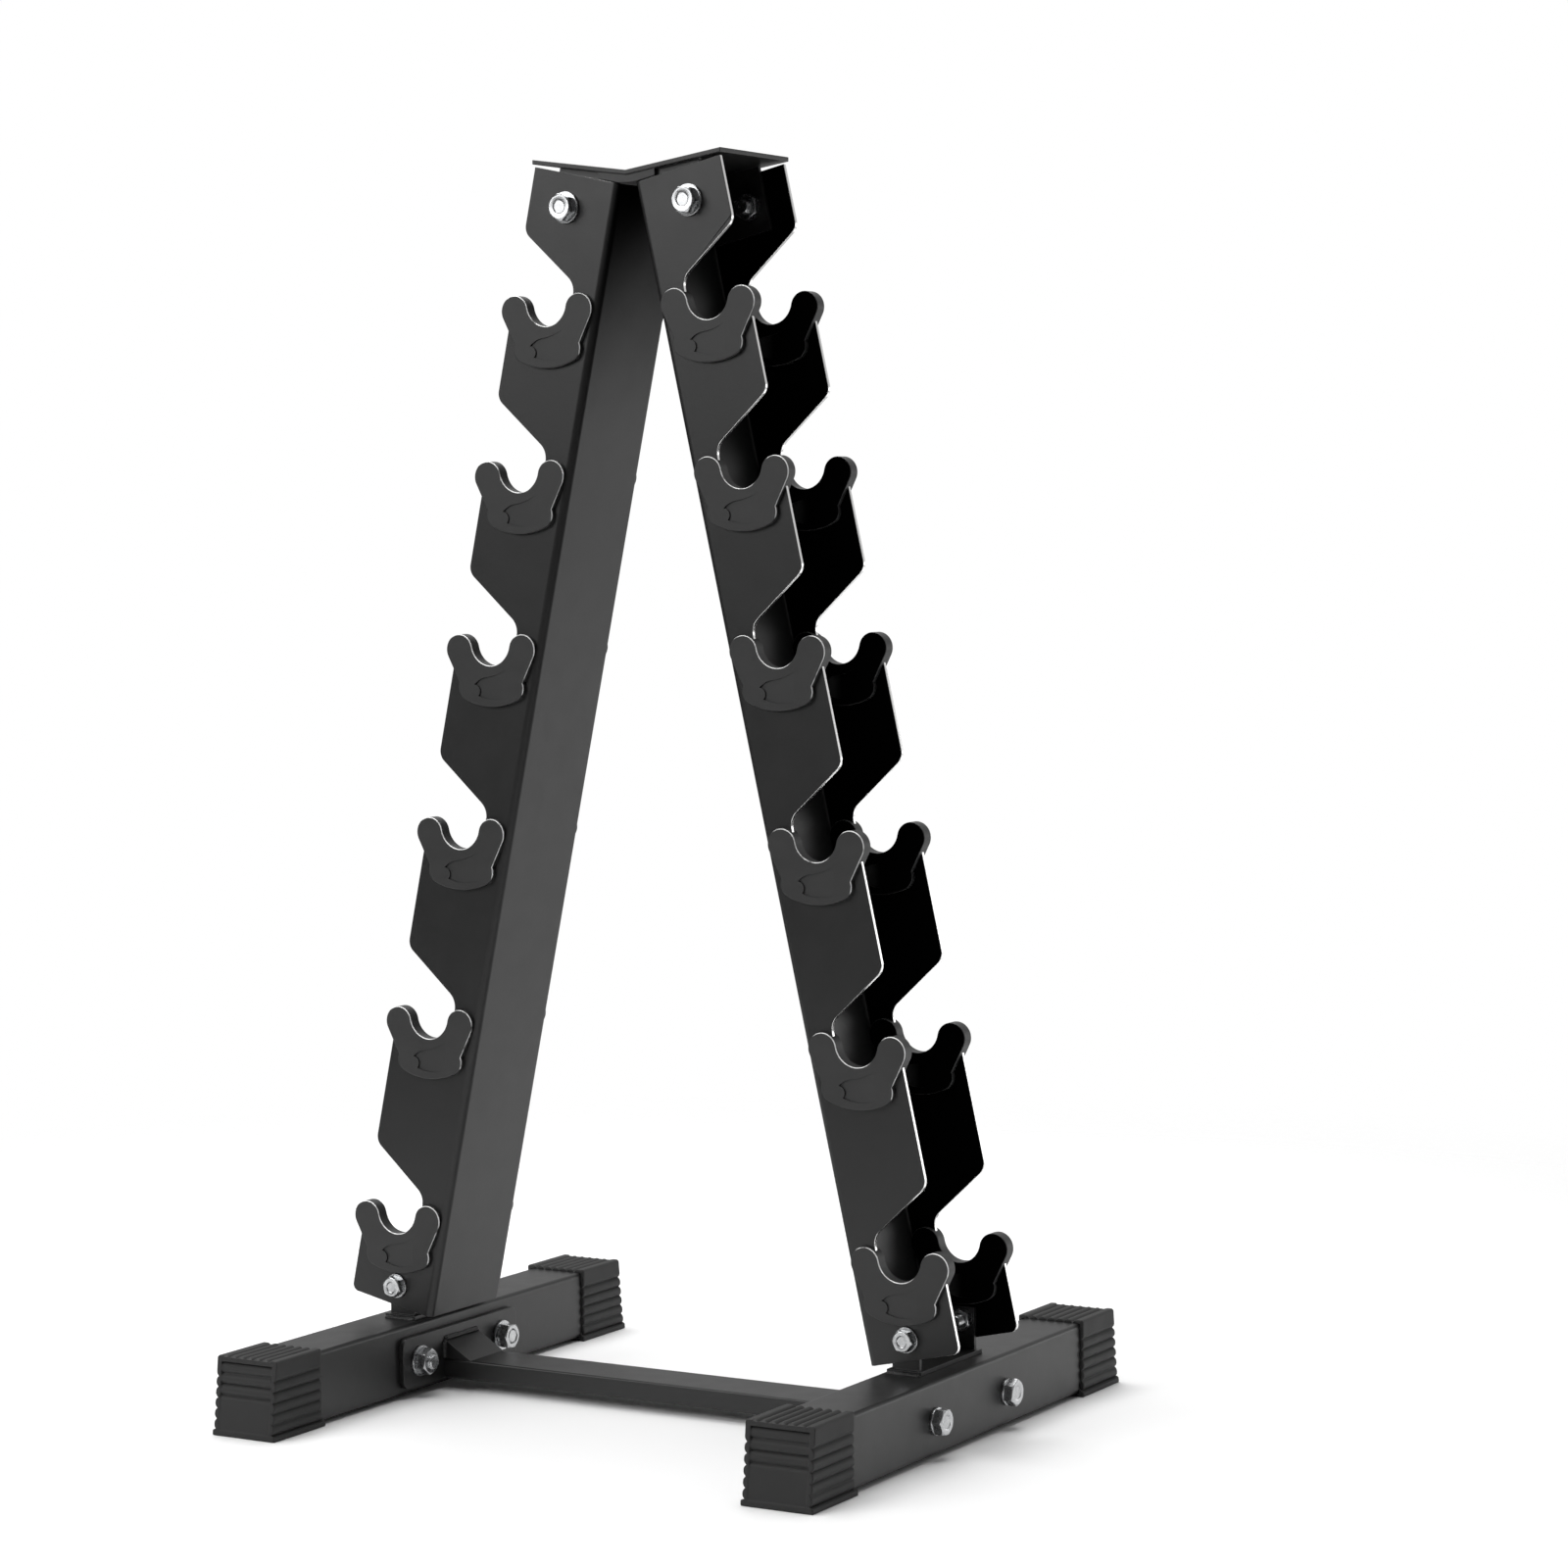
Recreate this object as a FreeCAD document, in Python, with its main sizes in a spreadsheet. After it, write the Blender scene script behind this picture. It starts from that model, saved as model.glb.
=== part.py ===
import FreeCAD, Part
import math
import os

import Sketcher

# Dumbbell rack: two leaning sheet-steel channels with six hooks in each flange,
# joined by a V plate at the top and standing on two capped base tubes.
# Millimetres. X runs left to right, Y front to back, Z up from the floor.
# Along a leg, "up" is the distance from its foot and "out" the distance from
# the outside of its web.

DIMENSIONS = {
    # Base tubes and their rubber end caps
    "tube_width": 44.2,
    "tube_height": 47.5,
    "tube_wall": 2.0,
    "tube_corner": 3.0,
    "tube_length": 402.0,
    "tube_spacing": 406.6,
    "cap_wall": 2.5,
    "cap_mouth": 157.5,
    "cap_top_length": 48.0,
    "cap_foot_length": 54.0,
    "cap_end_gap": 0.5,
    "cap_lip_height": 4.0,
    "cap_lip_reach": 1.0,
    "cap_groove_width": 2.0,
    "cap_groove_depth": 1.3,
    "cap_side_pitch": 7.0,
    "cap_top_pitch": 6.6,
    "cap_front_pitch": 7.4,
    "cap_border": 3.5,
    # Legs: bent channels
    "lean": 12.34,
    "leg_spread": 173.1,
    "leg_length": 783.5,
    "channel_width": 84.0,
    "flange_depth": 67.6,
    "sheet": 3.0,
    "bend_radius": 5.0,
    "foot_corner": 5.0,
    # Hooks: heights of the saddle centres along the leg, and their outline.
    # The saddle keeps its distance from the inside of the web.
    "lowest_saddle": 65.6,
    "pitch_one": 140.0,
    "pitch_two": 134.0,
    "pitch_three": 127.5,
    "pitch_four": 118.5,
    "pitch_five": 112.0,
    "saddle_off_web": 36.5,
    "saddle_cut": 17.9,
    "saddle_out": "=sheet + saddle_off_web",
    "neck_out": "=saddle_out - saddle_cut",
    "hook_radius": 7.0,
    "mouth_slope": 30.2,
    "mouth_rise": 42.5,
    "mouth_corner": 9.0,
    "neck_corner": 12.0,
    # Cradle covers
    "saddle_radius": 15.5,
    "cover_thickness": 9.5,
    "cover_fit": 0.3,
    "horn_reach": 25.4,
    "horn_drop": 4.7,
    "shoulder_reach": 25.7,
    "shoulder_drop": 27.0,
    "belly_reach": 26.4,
    "belly_drop": 43.2,
    "belly_radius": 50.0,
    "belly_corner": 9.0,
    "belly_step": 12.0,
    "cover_edge": 0.7,
    "recess_depth": 1.1,
    # Top bracket, a little wider than the legs
    "bracket_slope": 8.2,
    "bracket_rise": 5.6,
    "bracket_plate": 3.0,
    "bracket_reach": 73.0,
    "bracket_overhang": 1.5,
    "bracket_depth": "=channel_width + bracket_overhang * 2",
    "tab_start": 6.0,
    "tab_end": 50.0,
    "tab_drop": 40.0,
    "lip_overlap": 16.3,
    "lip_gap": 0.5,
    "top_bolt_up": 761.4,
    "top_bolt_out": 38.3,
    # Foot brackets
    "foot_plate": 3.0,
    "foot_plate_width": 25.0,
    "foot_plate_length": 84.0,
    "foot_centre": 198.5,
    "stub_width": 20.0,
    "stub_height": 28.0,
    "foot_bolt_up": 13.6,
    "foot_bolt_out": 31.4,
    # Crossbar and its ends
    "bar_width": 40.0,
    "bar_height": 13.5,
    "bar_wall": 1.5,
    "bar_bottom": 7.0,
    "end_plate": 4.0,
    "end_plate_length": 136.0,
    "end_plate_height": 35.0,
    "end_plate_corner": 6.0,
    "side_bolt_spacing": 98.0,
    "gusset_run": 22.0,
    "gusset_rise": 13.5,
    "gusset_sheet": 2.0,
    # Fasteners: M10 at the top and the crossbar, M8 at the feet
    "large_bolt": 10.0,
    "large_hex": 16.0,
    "large_head": 6.4,
    "large_nut": 8.0,
    "large_washer": 21.0,
    "large_washer_sheet": 2.0,
    "large_hole": 11.0,
    "outer_washer": 18.0,
    "small_bolt": 8.0,
    "small_hex": 13.0,
    "small_head": 5.3,
    "small_nut": 6.8,
    "small_washer": 17.0,
    "small_washer_sheet": 1.6,
    "small_hole": 9.0,
    "thread_gap": 0.3,
    "top_bolt_length": 20.0,
    "foot_bolt_length": 20.0,
    "front_bar_bolt_length": 63.0,
    "rear_bar_bolt_length": 60.0,
}

# The recess in a cover's belly, point by point from its right-hand top corner:
# shares of half the belly's reach, and of the belly's drop
RECESS = [
    (0.98, 0.41), (0.38, 0.495), (-0.23, 0.537), (-0.65, 0.574), (-1.0, 0.653),
    (-0.68, 0.722), (-0.77, 0.829), (0.08, 0.887), (1.0, 0.84),
]
# How far a groove's section stands out of its wall, as a share of its depth
GROOVE_STAND_OUT = 0.5
# The flat face of a bolt head or nut, as a share of its width across flats
FACE_SHARE = 0.95

X_AXIS = FreeCAD.Vector(1, 0, 0)
Y_AXIS = FreeCAD.Vector(0, 1, 0)
Z_AXIS = FreeCAD.Vector(0, 0, 1)
ORIGIN = FreeCAD.Vector(0, 0, 0)
FLAT = FreeCAD.Rotation()
TURNED = FreeCAD.Rotation(Z_AXIS, 180)
RIGHT, LEFT = 1, -1
FRONT, REAR = -1, 1

doc = FreeCAD.newDocument("dumbbell_rack")
sheet = doc.addObject("Spreadsheet::Sheet", "Dims")
sub_parts = []


def fill_sheet():
    """Puts each dimension in the sheet, its name beside it."""
    for row, (name, value) in enumerate(DIMENSIONS.items(), start=1):
        sheet.set("A%d" % row, name)
        sheet.set("B%d" % row, str(value))
        sheet.setAlias("B%d" % row, name)
    doc.recompute()


def size(expression):
    """The value of an expression written in the sheet's names."""
    return float(sheet.evalExpression(named(expression)))


def named(expression):
    """The same expression with each sheet name given its sheet."""
    words = []
    word = ""
    for letter in expression + " ":
        if letter.isalpha() or letter == "_":
            word += letter
            continue
        words.append("Dims." + word if word in DIMENSIONS else word)
        words.append(letter)
        word = ""
    return "".join(words).strip()


def keep(part, label, placement):
    """Names a finished sub-part, puts it in its place and lists it."""
    part.Label = label
    part.Placement = placement
    sub_parts.append(part)
    return part


# Sketches and features ---------------------------------------------------------

def new_sketch(body, name, role, offset="0", up="0"):
    """A sketch on one of the body's origin planes, moved along its normal."""
    plane = next(item for item in body.Origin.OriginFeatures if item.Role == role)
    sketch = body.newObject("Sketcher::SketchObject", name)
    sketch.AttachmentSupport = [(plane, "")]
    sketch.MapMode = "FlatFace"
    sketch.setExpression("AttachmentOffset.Base.z", named(offset))
    sketch.setExpression("AttachmentOffset.Base.y", named(up))
    return sketch


def bind(sketch, kind, where, expression):
    """A dimension of the sketch that follows the sheet."""
    number = sketch.addConstraint(Sketcher.Constraint(kind, *where, size(expression)))
    sketch.setExpression("Constraints[%d]" % number, named(expression))


def rectangle(sketch, x0, y0, x1, y1):
    """A rectangle between two corners given as expressions."""
    left, low, right, high = size(x0), size(y0), size(x1), size(y1)
    corners = [(left, low), (right, low), (right, high), (left, high)]
    first = sketch.GeometryCount
    for here, there in zip(corners, corners[1:] + corners[:1]):
        sketch.addGeometry(Part.LineSegment(FreeCAD.Vector(*here, 0), FreeCAD.Vector(*there, 0)))
    for side in range(4):
        sketch.addConstraint(
            Sketcher.Constraint("Coincident", first + side, 2, first + (side + 1) % 4, 1))
        level = "Horizontal" if side % 2 == 0 else "Vertical"
        sketch.addConstraint(Sketcher.Constraint(level, first + side))
    bind(sketch, "DistanceX", (first, 1), x0)
    bind(sketch, "DistanceY", (first, 1), y0)
    bind(sketch, "DistanceX", (first + 1, 2), x1)
    bind(sketch, "DistanceY", (first + 1, 2), y1)


def circle(sketch, x, y, diameter):
    """A circle at a centre given as expressions."""
    centre = FreeCAD.Vector(size(x), size(y), 0)
    number = sketch.addGeometry(Part.Circle(centre, Z_AXIS, size(diameter) / 2))
    bind(sketch, "DistanceX", (number, 3), x)
    bind(sketch, "DistanceY", (number, 3), y)
    bind(sketch, "Diameter", (number,), diameter)


def outline(sketch, edges):
    """A closed outline of lines and arcs, each given as its geometry."""
    for edge in edges:
        sketch.addGeometry(edge)


def pad(body, sketch, length, both_ways=False, backwards=False):
    """Adds material from a sketch."""
    return extruded(body, "PartDesign::Pad", sketch, length, both_ways, backwards)


def pocket(body, sketch, length=None, both_ways=True, backwards=False):
    """Takes material away from a sketch, right through unless a depth is given."""
    before = body.Shape.Volume
    cut = extruded(body, "PartDesign::Pocket", sketch, length, both_ways, backwards)
    if body.Shape.Volume > before - 1e-6:
        raise RuntimeError("%s cut nothing" % cut.Name)
    return cut


def extruded(body, kind, sketch, length, both_ways, backwards):
    """A pad or a pocket of a sketch."""
    feature = body.newObject(kind, sketch.Name + "_solid")
    feature.Profile = sketch
    feature.SideType = "Symmetric" if both_ways else "One side"
    feature.Reversed = backwards
    if length is None:
        feature.Type = "ThroughAll"
    else:
        feature.setExpression("Length", named(length))
    body.Tip = feature
    doc.recompute()
    return feature


def round_edges(body, wanted, radius):
    """Rounds the body's edges that pass the test."""
    base = body.Tip
    names = ["Edge%d" % n for n, edge in enumerate(base.Shape.Edges, start=1) if wanted(edge)]
    feature = body.newObject("PartDesign::Fillet", body.Name + "_round")
    feature.Base = (base, names)
    feature.setExpression("Radius", named(radius))
    body.Tip = feature
    doc.recompute()
    return feature


def is_along(edge, axis):
    """Whether an edge is a straight line along an axis."""
    if edge.Curve.TypeId != "Part::GeomLine":
        return False
    return abs(abs(edge.Curve.Direction.dot(axis)) - 1) < 1e-6


def is_near(value, target):
    """Whether two lengths are the same to a hundredth."""
    return abs(value - target) < 0.01


# Plane geometry for the outlines ------------------------------------------------

def line(start, end):
    """A straight edge between two points of a sketch."""
    return Part.LineSegment(FreeCAD.Vector(*start, 0), FreeCAD.Vector(*end, 0))


def arc(centre, radius, start, end):
    """An arc of a circle that starts and ends at two angles, in degrees."""
    ring = Part.Circle(FreeCAD.Vector(*centre, 0), Z_AXIS, radius)
    return Part.ArcOfCircle(ring, math.radians(start), math.radians(end))


def polar(centre, radius, angle):
    """The point of a circle at an angle, in degrees."""
    turn = math.radians(angle)
    return centre[0] + radius * math.cos(turn), centre[1] + radius * math.sin(turn)


def bearing(start, end):
    """The direction from one point to another, in degrees."""
    return math.degrees(math.atan2(end[1] - start[1], end[0] - start[0]))


def distance(start, end):
    """How far two points are apart."""
    return math.hypot(end[0] - start[0], end[1] - start[1])


# Places along the legs ----------------------------------------------------------

TUBE_TOP = "(cap_wall + tube_height)"
LEG_FOOT = "(cap_wall + tube_height + foot_plate)"
PLATE_INSIDE = "(tube_spacing / 2 - tube_width / 2 - end_plate)"
SIDE_BOLT_HEIGHT = "(bar_bottom + end_plate_height / 2)"
TIERS = [
    "lowest_saddle",
    "lowest_saddle + pitch_one",
    "lowest_saddle + pitch_one + pitch_two",
    "lowest_saddle + pitch_one + pitch_two + pitch_three",
    "lowest_saddle + pitch_one + pitch_two + pitch_three + pitch_four",
    "lowest_saddle + pitch_one + pitch_two + pitch_three + pitch_four + pitch_five",
]


def leg_x(up, out):
    """How far from the middle a place on the right leg is."""
    return "(leg_spread - (%s) * sin(lean * 1 deg) + (%s) * cos(lean * 1 deg))" % (up, out)


def leg_z(up, out):
    """How high above the floor a place on the right leg is."""
    return "(%s + (%s) * cos(lean * 1 deg) + (%s) * sin(lean * 1 deg))" % (LEG_FOOT, up, out)


def on_side(side, placement):
    """A right-hand placement as it is, or turned to the left of the rack."""
    if side == RIGHT:
        return placement
    return FreeCAD.Placement(ORIGIN, TURNED).multiply(placement)


def place(x="0", y="0", z="0", rotation=FLAT):
    """A placement at a point given as expressions."""
    return FreeCAD.Placement(FreeCAD.Vector(size(x), size(y), size(z)), rotation)


# Legs ---------------------------------------------------------------------------

def hook_centre():
    """The centre of a hook's rounded tip, measured from its saddle's height."""
    x = size("flange_depth - hook_radius")
    reach = size("saddle_out - neck_out + hook_radius")
    return x, -math.sqrt(reach ** 2 - (x - size("saddle_out")) ** 2)


def mouth_edges():
    """The outline cut from a flange above one hook.

    It runs round the saddle, over the hook's tip, out past the flange's edge,
    and back along the sloping underside of the sheet above.
    """
    saddle = (size("saddle_out"), 0.0)
    saddle_radius = size("saddle_out - neck_out")
    tip = hook_centre()
    tip_radius = size("hook_radius")
    edge, beyond = size("flange_depth"), size("flange_depth + hook_radius")
    neck = size("neck_out")
    slope = size("mouth_slope")
    opening = math.tan(math.radians(90.0 - slope) / 2)
    mouth_radius, neck_radius = size("mouth_corner"), size("neck_corner")
    mouth_tangent = mouth_radius * opening
    neck_tangent = neck_radius * opening
    corner = (edge, size("mouth_rise"))
    mouth = (edge - mouth_radius, corner[1] + mouth_tangent)
    neck_corner = (neck, corner[1] - (edge - neck) * math.tan(math.radians(slope)))
    bend = (neck + neck_radius, neck_corner[1] - neck_tangent)
    join = bearing(saddle, tip)
    return [
        arc(saddle, saddle_radius, 180.0, 360.0 + join),
        arc(tip, tip_radius, 0.0, bearing(tip, saddle)),
        line((edge, tip[1]), (beyond, tip[1])),
        line((beyond, tip[1]), (beyond, mouth[1])),
        line((beyond, mouth[1]), (edge, mouth[1])),
        arc(mouth, mouth_radius, slope - 90.0, 0.0),
        line(polar(mouth, mouth_radius, slope - 90.0), polar(bend, neck_radius, slope + 90.0)),
        arc(bend, neck_radius, slope + 90.0, 180.0),
        line((neck, bend[1]), (neck, 0.0)),
    ]


def make_leg(label, side):
    """A bent channel with six hooks in each flange and a bolt hole at each end."""
    body = doc.addObject("PartDesign::Body", label)
    blank = new_sketch(body, label + "_blank", "XY_Plane")
    rectangle(blank, "0", "-channel_width / 2", "flange_depth", "channel_width / 2")
    pad(body, blank, "leg_length")
    inside = new_sketch(body, label + "_inside", "XY_Plane")
    rectangle(inside, "sheet", "sheet - channel_width / 2",
              "flange_depth + sheet", "channel_width / 2 - sheet")
    pocket(body, inside)
    half, inner = size("channel_width / 2"), size("channel_width / 2 - sheet")
    depth, thick = size("flange_depth"), size("sheet")
    round_edges(body, lambda edge: is_along(edge, Z_AXIS)
                and is_near(edge.CenterOfMass.x, 0)
                and is_near(abs(edge.CenterOfMass.y), half), "bend_radius")
    round_edges(body, lambda edge: is_along(edge, Z_AXIS)
                and is_near(edge.CenterOfMass.x, thick)
                and is_near(abs(edge.CenterOfMass.y), inner), "bend_radius - sheet")
    round_edges(body, lambda edge: is_along(edge, Y_AXIS)
                and is_near(edge.CenterOfMass.x, depth)
                and is_near(edge.CenterOfMass.z, 0), "foot_corner")
    for number, height in enumerate(TIERS, start=1):
        mouth = new_sketch(body, "%s_mouth_%d" % (label, number), "XZ_Plane", up=height)
        outline(mouth, mouth_edges())
        pocket(body, mouth)
    holes = new_sketch(body, label + "_holes", "XZ_Plane")
    circle(holes, "top_bolt_out", "top_bolt_up", "large_hole")
    circle(holes, "foot_bolt_out", "foot_bolt_up", "small_hole")
    pocket(body, holes)
    leaning = place("leg_spread", "0", LEG_FOOT, FreeCAD.Rotation(Y_AXIS, -size("lean")))
    return keep(body, label, on_side(side, leaning))


# Cradle covers ------------------------------------------------------------------

def mirrored(edges):
    """The same lines and arcs on the other side of the vertical axis."""
    copies = []
    for edge in edges:
        if isinstance(edge, Part.LineSegment):
            copies.append(line((-edge.EndPoint.x, edge.EndPoint.y),
                               (-edge.StartPoint.x, edge.StartPoint.y)))
        else:
            start = 180.0 - math.degrees(edge.LastParameter)
            end = 180.0 - math.degrees(edge.FirstParameter)
            copies.append(arc((-edge.Center.x, edge.Center.y), edge.Radius, start, end))
    return copies


def cover_edges():
    """A cradle cover's outline, upright, about its saddle's centre.

    A round saddle runs into two round horns. Below the horns the sides taper
    to a shoulder, and a rounded belly closes the bottom.
    """
    saddle, saddle_radius = (0.0, 0.0), size("saddle_radius")
    horn = (size("horn_reach"), -size("horn_drop"))
    horn_radius = distance(saddle, horn) - saddle_radius
    shoulder = (size("shoulder_reach"), -size("shoulder_drop"))
    opening = math.degrees(math.acos(horn_radius / distance(horn, shoulder)))
    side_turn = bearing(horn, shoulder) + opening
    belly_radius, corner_radius = size("belly_radius"), size("belly_corner")
    belly = (0.0, belly_radius - size("belly_drop"))
    corner_x = size("belly_reach - belly_corner")
    corner_fall = math.sqrt((belly_radius - corner_radius) ** 2 - corner_x ** 2)
    corner = (corner_x, belly[1] - corner_fall)
    step = size("belly_step")
    low_turn = bearing(belly, corner)
    join = bearing(saddle, horn)
    right = [
        arc(horn, horn_radius, side_turn, bearing(horn, saddle)),
        line(polar(horn, horn_radius, side_turn), shoulder),
        line(shoulder, polar(corner, corner_radius, step)),
        arc(corner, corner_radius, low_turn, step),
    ]
    return right + mirrored(right) + [
        arc(saddle, saddle_radius, 180.0 - join, 360.0 + join),
        arc(belly, belly_radius, -180.0 - low_turn, low_turn),
    ]


def slot_edges():
    """The slot for the flange, in the leg's own directions.

    It is the hook's outline with the fit all round, carried on past the
    cover's web side and bottom.
    """
    fit = size("cover_fit")
    out = size("saddle_out")
    saddle = (0.0, 0.0)
    tip_x, tip_y = hook_centre()
    tip = (tip_x - out, tip_y)
    saddle_radius = size("saddle_out - neck_out") - fit
    neck = -saddle_radius
    edge = size("flange_depth - saddle_out") + fit
    side, low, high = -size("horn_reach * 2"), -size("belly_drop * 2"), size("horn_reach")
    return [
        line((neck, 0.0), (neck, high)),
        line((neck, high), (side, high)),
        line((side, high), (side, low)),
        line((side, low), (edge, low)),
        line((edge, low), (edge, tip[1])),
        arc(tip, size("hook_radius") + fit, 0.0, bearing(tip, saddle)),
        arc(saddle, saddle_radius, 180.0, 360.0 + bearing(saddle, tip)),
    ]


def recess_edges():
    """The recess in a cover's belly.

    Its wavy top edge runs down to a point, the end is scooped in, and the
    bottom edge follows the belly.
    """
    reach, drop = size("belly_reach / 2"), size("belly_drop")
    points = [FreeCAD.Vector(reach * x, -drop * down, 0) for x, down in RECESS]
    arcs = [Part.Arc(*points[start:start + 3]) for start in range(0, len(points) - 1, 2)]
    return arcs + [Part.LineSegment(points[-1], points[0])]


def make_cover(label, side, end, height):
    """A moulded cradle that straddles the flange at one hook.

    The recess in each face is deepest at one end and fades out at the other.
    """
    body = doc.addObject("PartDesign::Body", label)
    shape = new_sketch(body, label + "_shape", "XZ_Plane")
    outline(shape, cover_edges())
    pad(body, shape, "cover_thickness", both_ways=True)
    face = size("cover_thickness / 2")
    round_edges(body, lambda edge: is_near(abs(edge.CenterOfMass.y), face), "cover_edge")
    slot = new_sketch(body, label + "_slot", "XZ_Plane")
    slot.setExpression("AttachmentOffset.Rotation.Angle", named("lean"))
    outline(slot, slot_edges())
    pocket(body, slot, "sheet")
    bend = new_sketch(body, label + "_bend", "XZ_Plane")
    bend.setExpression("AttachmentOffset.Rotation.Angle", named("lean"))
    rectangle(bend, "-horn_reach * 2", "-belly_drop",
              "bend_radius + cover_fit - saddle_out", "horn_reach")
    pocket(body, bend, "sheet + (bend_radius - sheet + cover_fit) * 2")
    recess = new_sketch(body, label + "_recess", "XZ_Plane")
    tilt = math.degrees(math.atan2(size("recess_depth"), size("belly_reach")))
    floor = "cover_thickness / 2 - recess_depth / 2"
    recess.AttachmentOffset = FreeCAD.Placement(
        FreeCAD.Vector(0, 0, size(floor)), FreeCAD.Rotation(Y_AXIS, -tilt))
    recess.setExpression("AttachmentOffset.Base.z", named(floor))
    outline(recess, recess_edges())
    cut = pocket(body, recess, "cover_thickness", both_ways=False, backwards=True)
    both = body.newObject("PartDesign::PolarPattern", label + "_both")
    both.Originals = [cut]
    upright = next(item for item in body.Origin.OriginFeatures if item.Role == "Z_Axis")
    both.Axis = (upright, [""])
    both.Angle = 360
    both.Occurrences = 2
    body.Tip = both
    doc.recompute()
    middle = "(channel_width / 2 - sheet / 2) * %d" % (end * side)
    seat = place(leg_x(height, "saddle_out"), middle, leg_z(height, "saddle_out"))
    return keep(body, label, on_side(side, seat))


# Top bracket --------------------------------------------------------------------

def bracket_edges():
    """The V of the bracket's plate, about the bottom of the valley."""
    reach, thick = size("bracket_reach"), size("bracket_plate / cos(bracket_slope * 1 deg)")
    rise = reach * math.tan(math.radians(size("bracket_slope")))
    corners = [(0, 0), (reach, rise), (reach, rise + thick),
               (0, thick), (-reach, rise + thick), (-reach, rise)]
    return closed(corners)


def closed(corners):
    """Straight edges round a list of corners."""
    return [line(here, there) for here, there in zip(corners, corners[1:] + corners[:1])]


def valley_height():
    """The height of the underside of the bracket's valley."""
    return size(leg_z("leg_length", "0")) + size("bracket_rise")


def tab_corners():
    """The corners of the right-hand tab, about the valley.

    It hangs from the middle of the plate's thickness, square to the leg.
    """
    valley = valley_height()
    slope = math.tan(math.radians(size("bracket_slope")))
    lean = math.radians(size("lean"))
    low = size("leg_length - tab_drop")
    corners = []
    for out in (size("tab_start"), size("tab_end")):
        root = slope * (size("leg_spread") + out * math.cos(lean)) + size("bracket_plate / 2")
        high = (root - size(LEG_FOOT) - out * math.sin(lean) + valley)
        high /= math.cos(lean) + slope * math.sin(lean)
        pair = [(size(leg_x(str(up), str(out))), size(leg_z(str(up), str(out))) - valley)
                for up in (low, high)]
        corners += pair if out == size("tab_start") else pair[::-1]
    return corners


def lip_corners():
    """The corners of the lip that closes the valley between the leg tops."""
    valley = valley_height()
    slope = math.tan(math.radians(size("bracket_slope")))
    lean = math.tan(math.radians(size("lean")))
    web = size(leg_x("leg_length", "0"))
    reach = web + size("lip_overlap")
    low = size(leg_z("leg_length", "0")) - valley + size("lip_gap")
    middle = size("bracket_plate / 2")
    side = [(reach, slope * reach + middle), (reach, low + (reach - web) * lean), (web, low)]
    return side + [(-x, y) for x, y in reversed(side)] + [(0, middle)]


def make_top_bracket(label):
    """A V plate over the leg tops, with a tab inside each flange."""
    body = doc.addObject("PartDesign::Body", label)
    plate = new_sketch(body, label + "_plate", "XZ_Plane")
    outline(plate, bracket_edges())
    pad(body, plate, "bracket_depth", both_ways=True)
    round_edges(body, lambda edge: is_along(edge, Y_AXIS)
                and is_near(edge.CenterOfMass.x, 0), "bracket_plate")
    tabs = new_sketch(body, label + "_tabs", "XZ_Plane", offset="channel_width / 2 - sheet * 2")
    right_tab = tab_corners()
    outline(tabs, closed(right_tab))
    outline(tabs, closed([(-x, y) for x, y in right_tab]))
    tab_pad = pad(body, tabs, "sheet")
    lip = new_sketch(body, label + "_lip", "XZ_Plane", offset="channel_width / 2 - sheet")
    outline(lip, closed(lip_corners()))
    lip_pad = pad(body, lip, "sheet")
    rear = body.newObject("PartDesign::Mirrored", label + "_rear")
    rear.Originals = [tab_pad, lip_pad]
    across = next(item for item in body.Origin.OriginFeatures if item.Role == "XZ_Plane")
    rear.MirrorPlane = (across, [""])
    body.Tip = rear
    doc.recompute()
    holes = new_sketch(body, label + "_holes", "XZ_Plane")
    bolt_x = leg_x("top_bolt_up", "top_bolt_out")
    bolt_z = "%s - %s - bracket_rise" % (leg_z("top_bolt_up", "top_bolt_out"),
                                         leg_z("leg_length", "0"))
    circle(holes, bolt_x, bolt_z, "large_hole")
    circle(holes, "-" + bolt_x, bolt_z, "large_hole")
    pocket(body, holes)
    return keep(body, label, FreeCAD.Placement(FreeCAD.Vector(0, 0, valley_height()), FLAT))


# Base ---------------------------------------------------------------------------

def make_base_tube(label, side):
    """A rectangular tube from front to back, drilled for the crossbar's bolts."""
    body = doc.addObject("PartDesign::Body", label)
    outside = new_sketch(body, label + "_outside", "XZ_Plane")
    rectangle(outside, "-tube_width / 2", "0", "tube_width / 2", "tube_height")
    pad(body, outside, "tube_length", both_ways=True)
    round_edges(body, lambda edge: is_along(edge, Y_AXIS), "tube_corner")
    inside = new_sketch(body, label + "_inside", "XZ_Plane")
    rectangle(inside, "tube_wall - tube_width / 2", "tube_wall",
              "tube_width / 2 - tube_wall", "tube_height - tube_wall")
    pocket(body, inside)
    holes = new_sketch(body, label + "_holes", "YZ_Plane")
    for y in ("-side_bolt_spacing / 2", "side_bolt_spacing / 2"):
        circle(holes, y, SIDE_BOLT_HEIGHT + " - cap_wall", "large_hole")
    pocket(body, holes)
    return keep(body, label, on_side(side, place("tube_spacing / 2", "0", "cap_wall")))


def groove(sketch, x, y, along_x):
    """A V groove's section at a point of a wall, its mouth in the wall's face."""
    depth, half = size("cap_groove_depth"), size("cap_groove_width / 2")
    direction = math.copysign(1.0, along_x)
    mouth = x + direction * depth * GROOVE_STAND_OUT
    half *= 1 + GROOVE_STAND_OUT
    outline(sketch, closed([(x - direction * depth, y), (mouth, y - half), (mouth, y + half)]))


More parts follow.
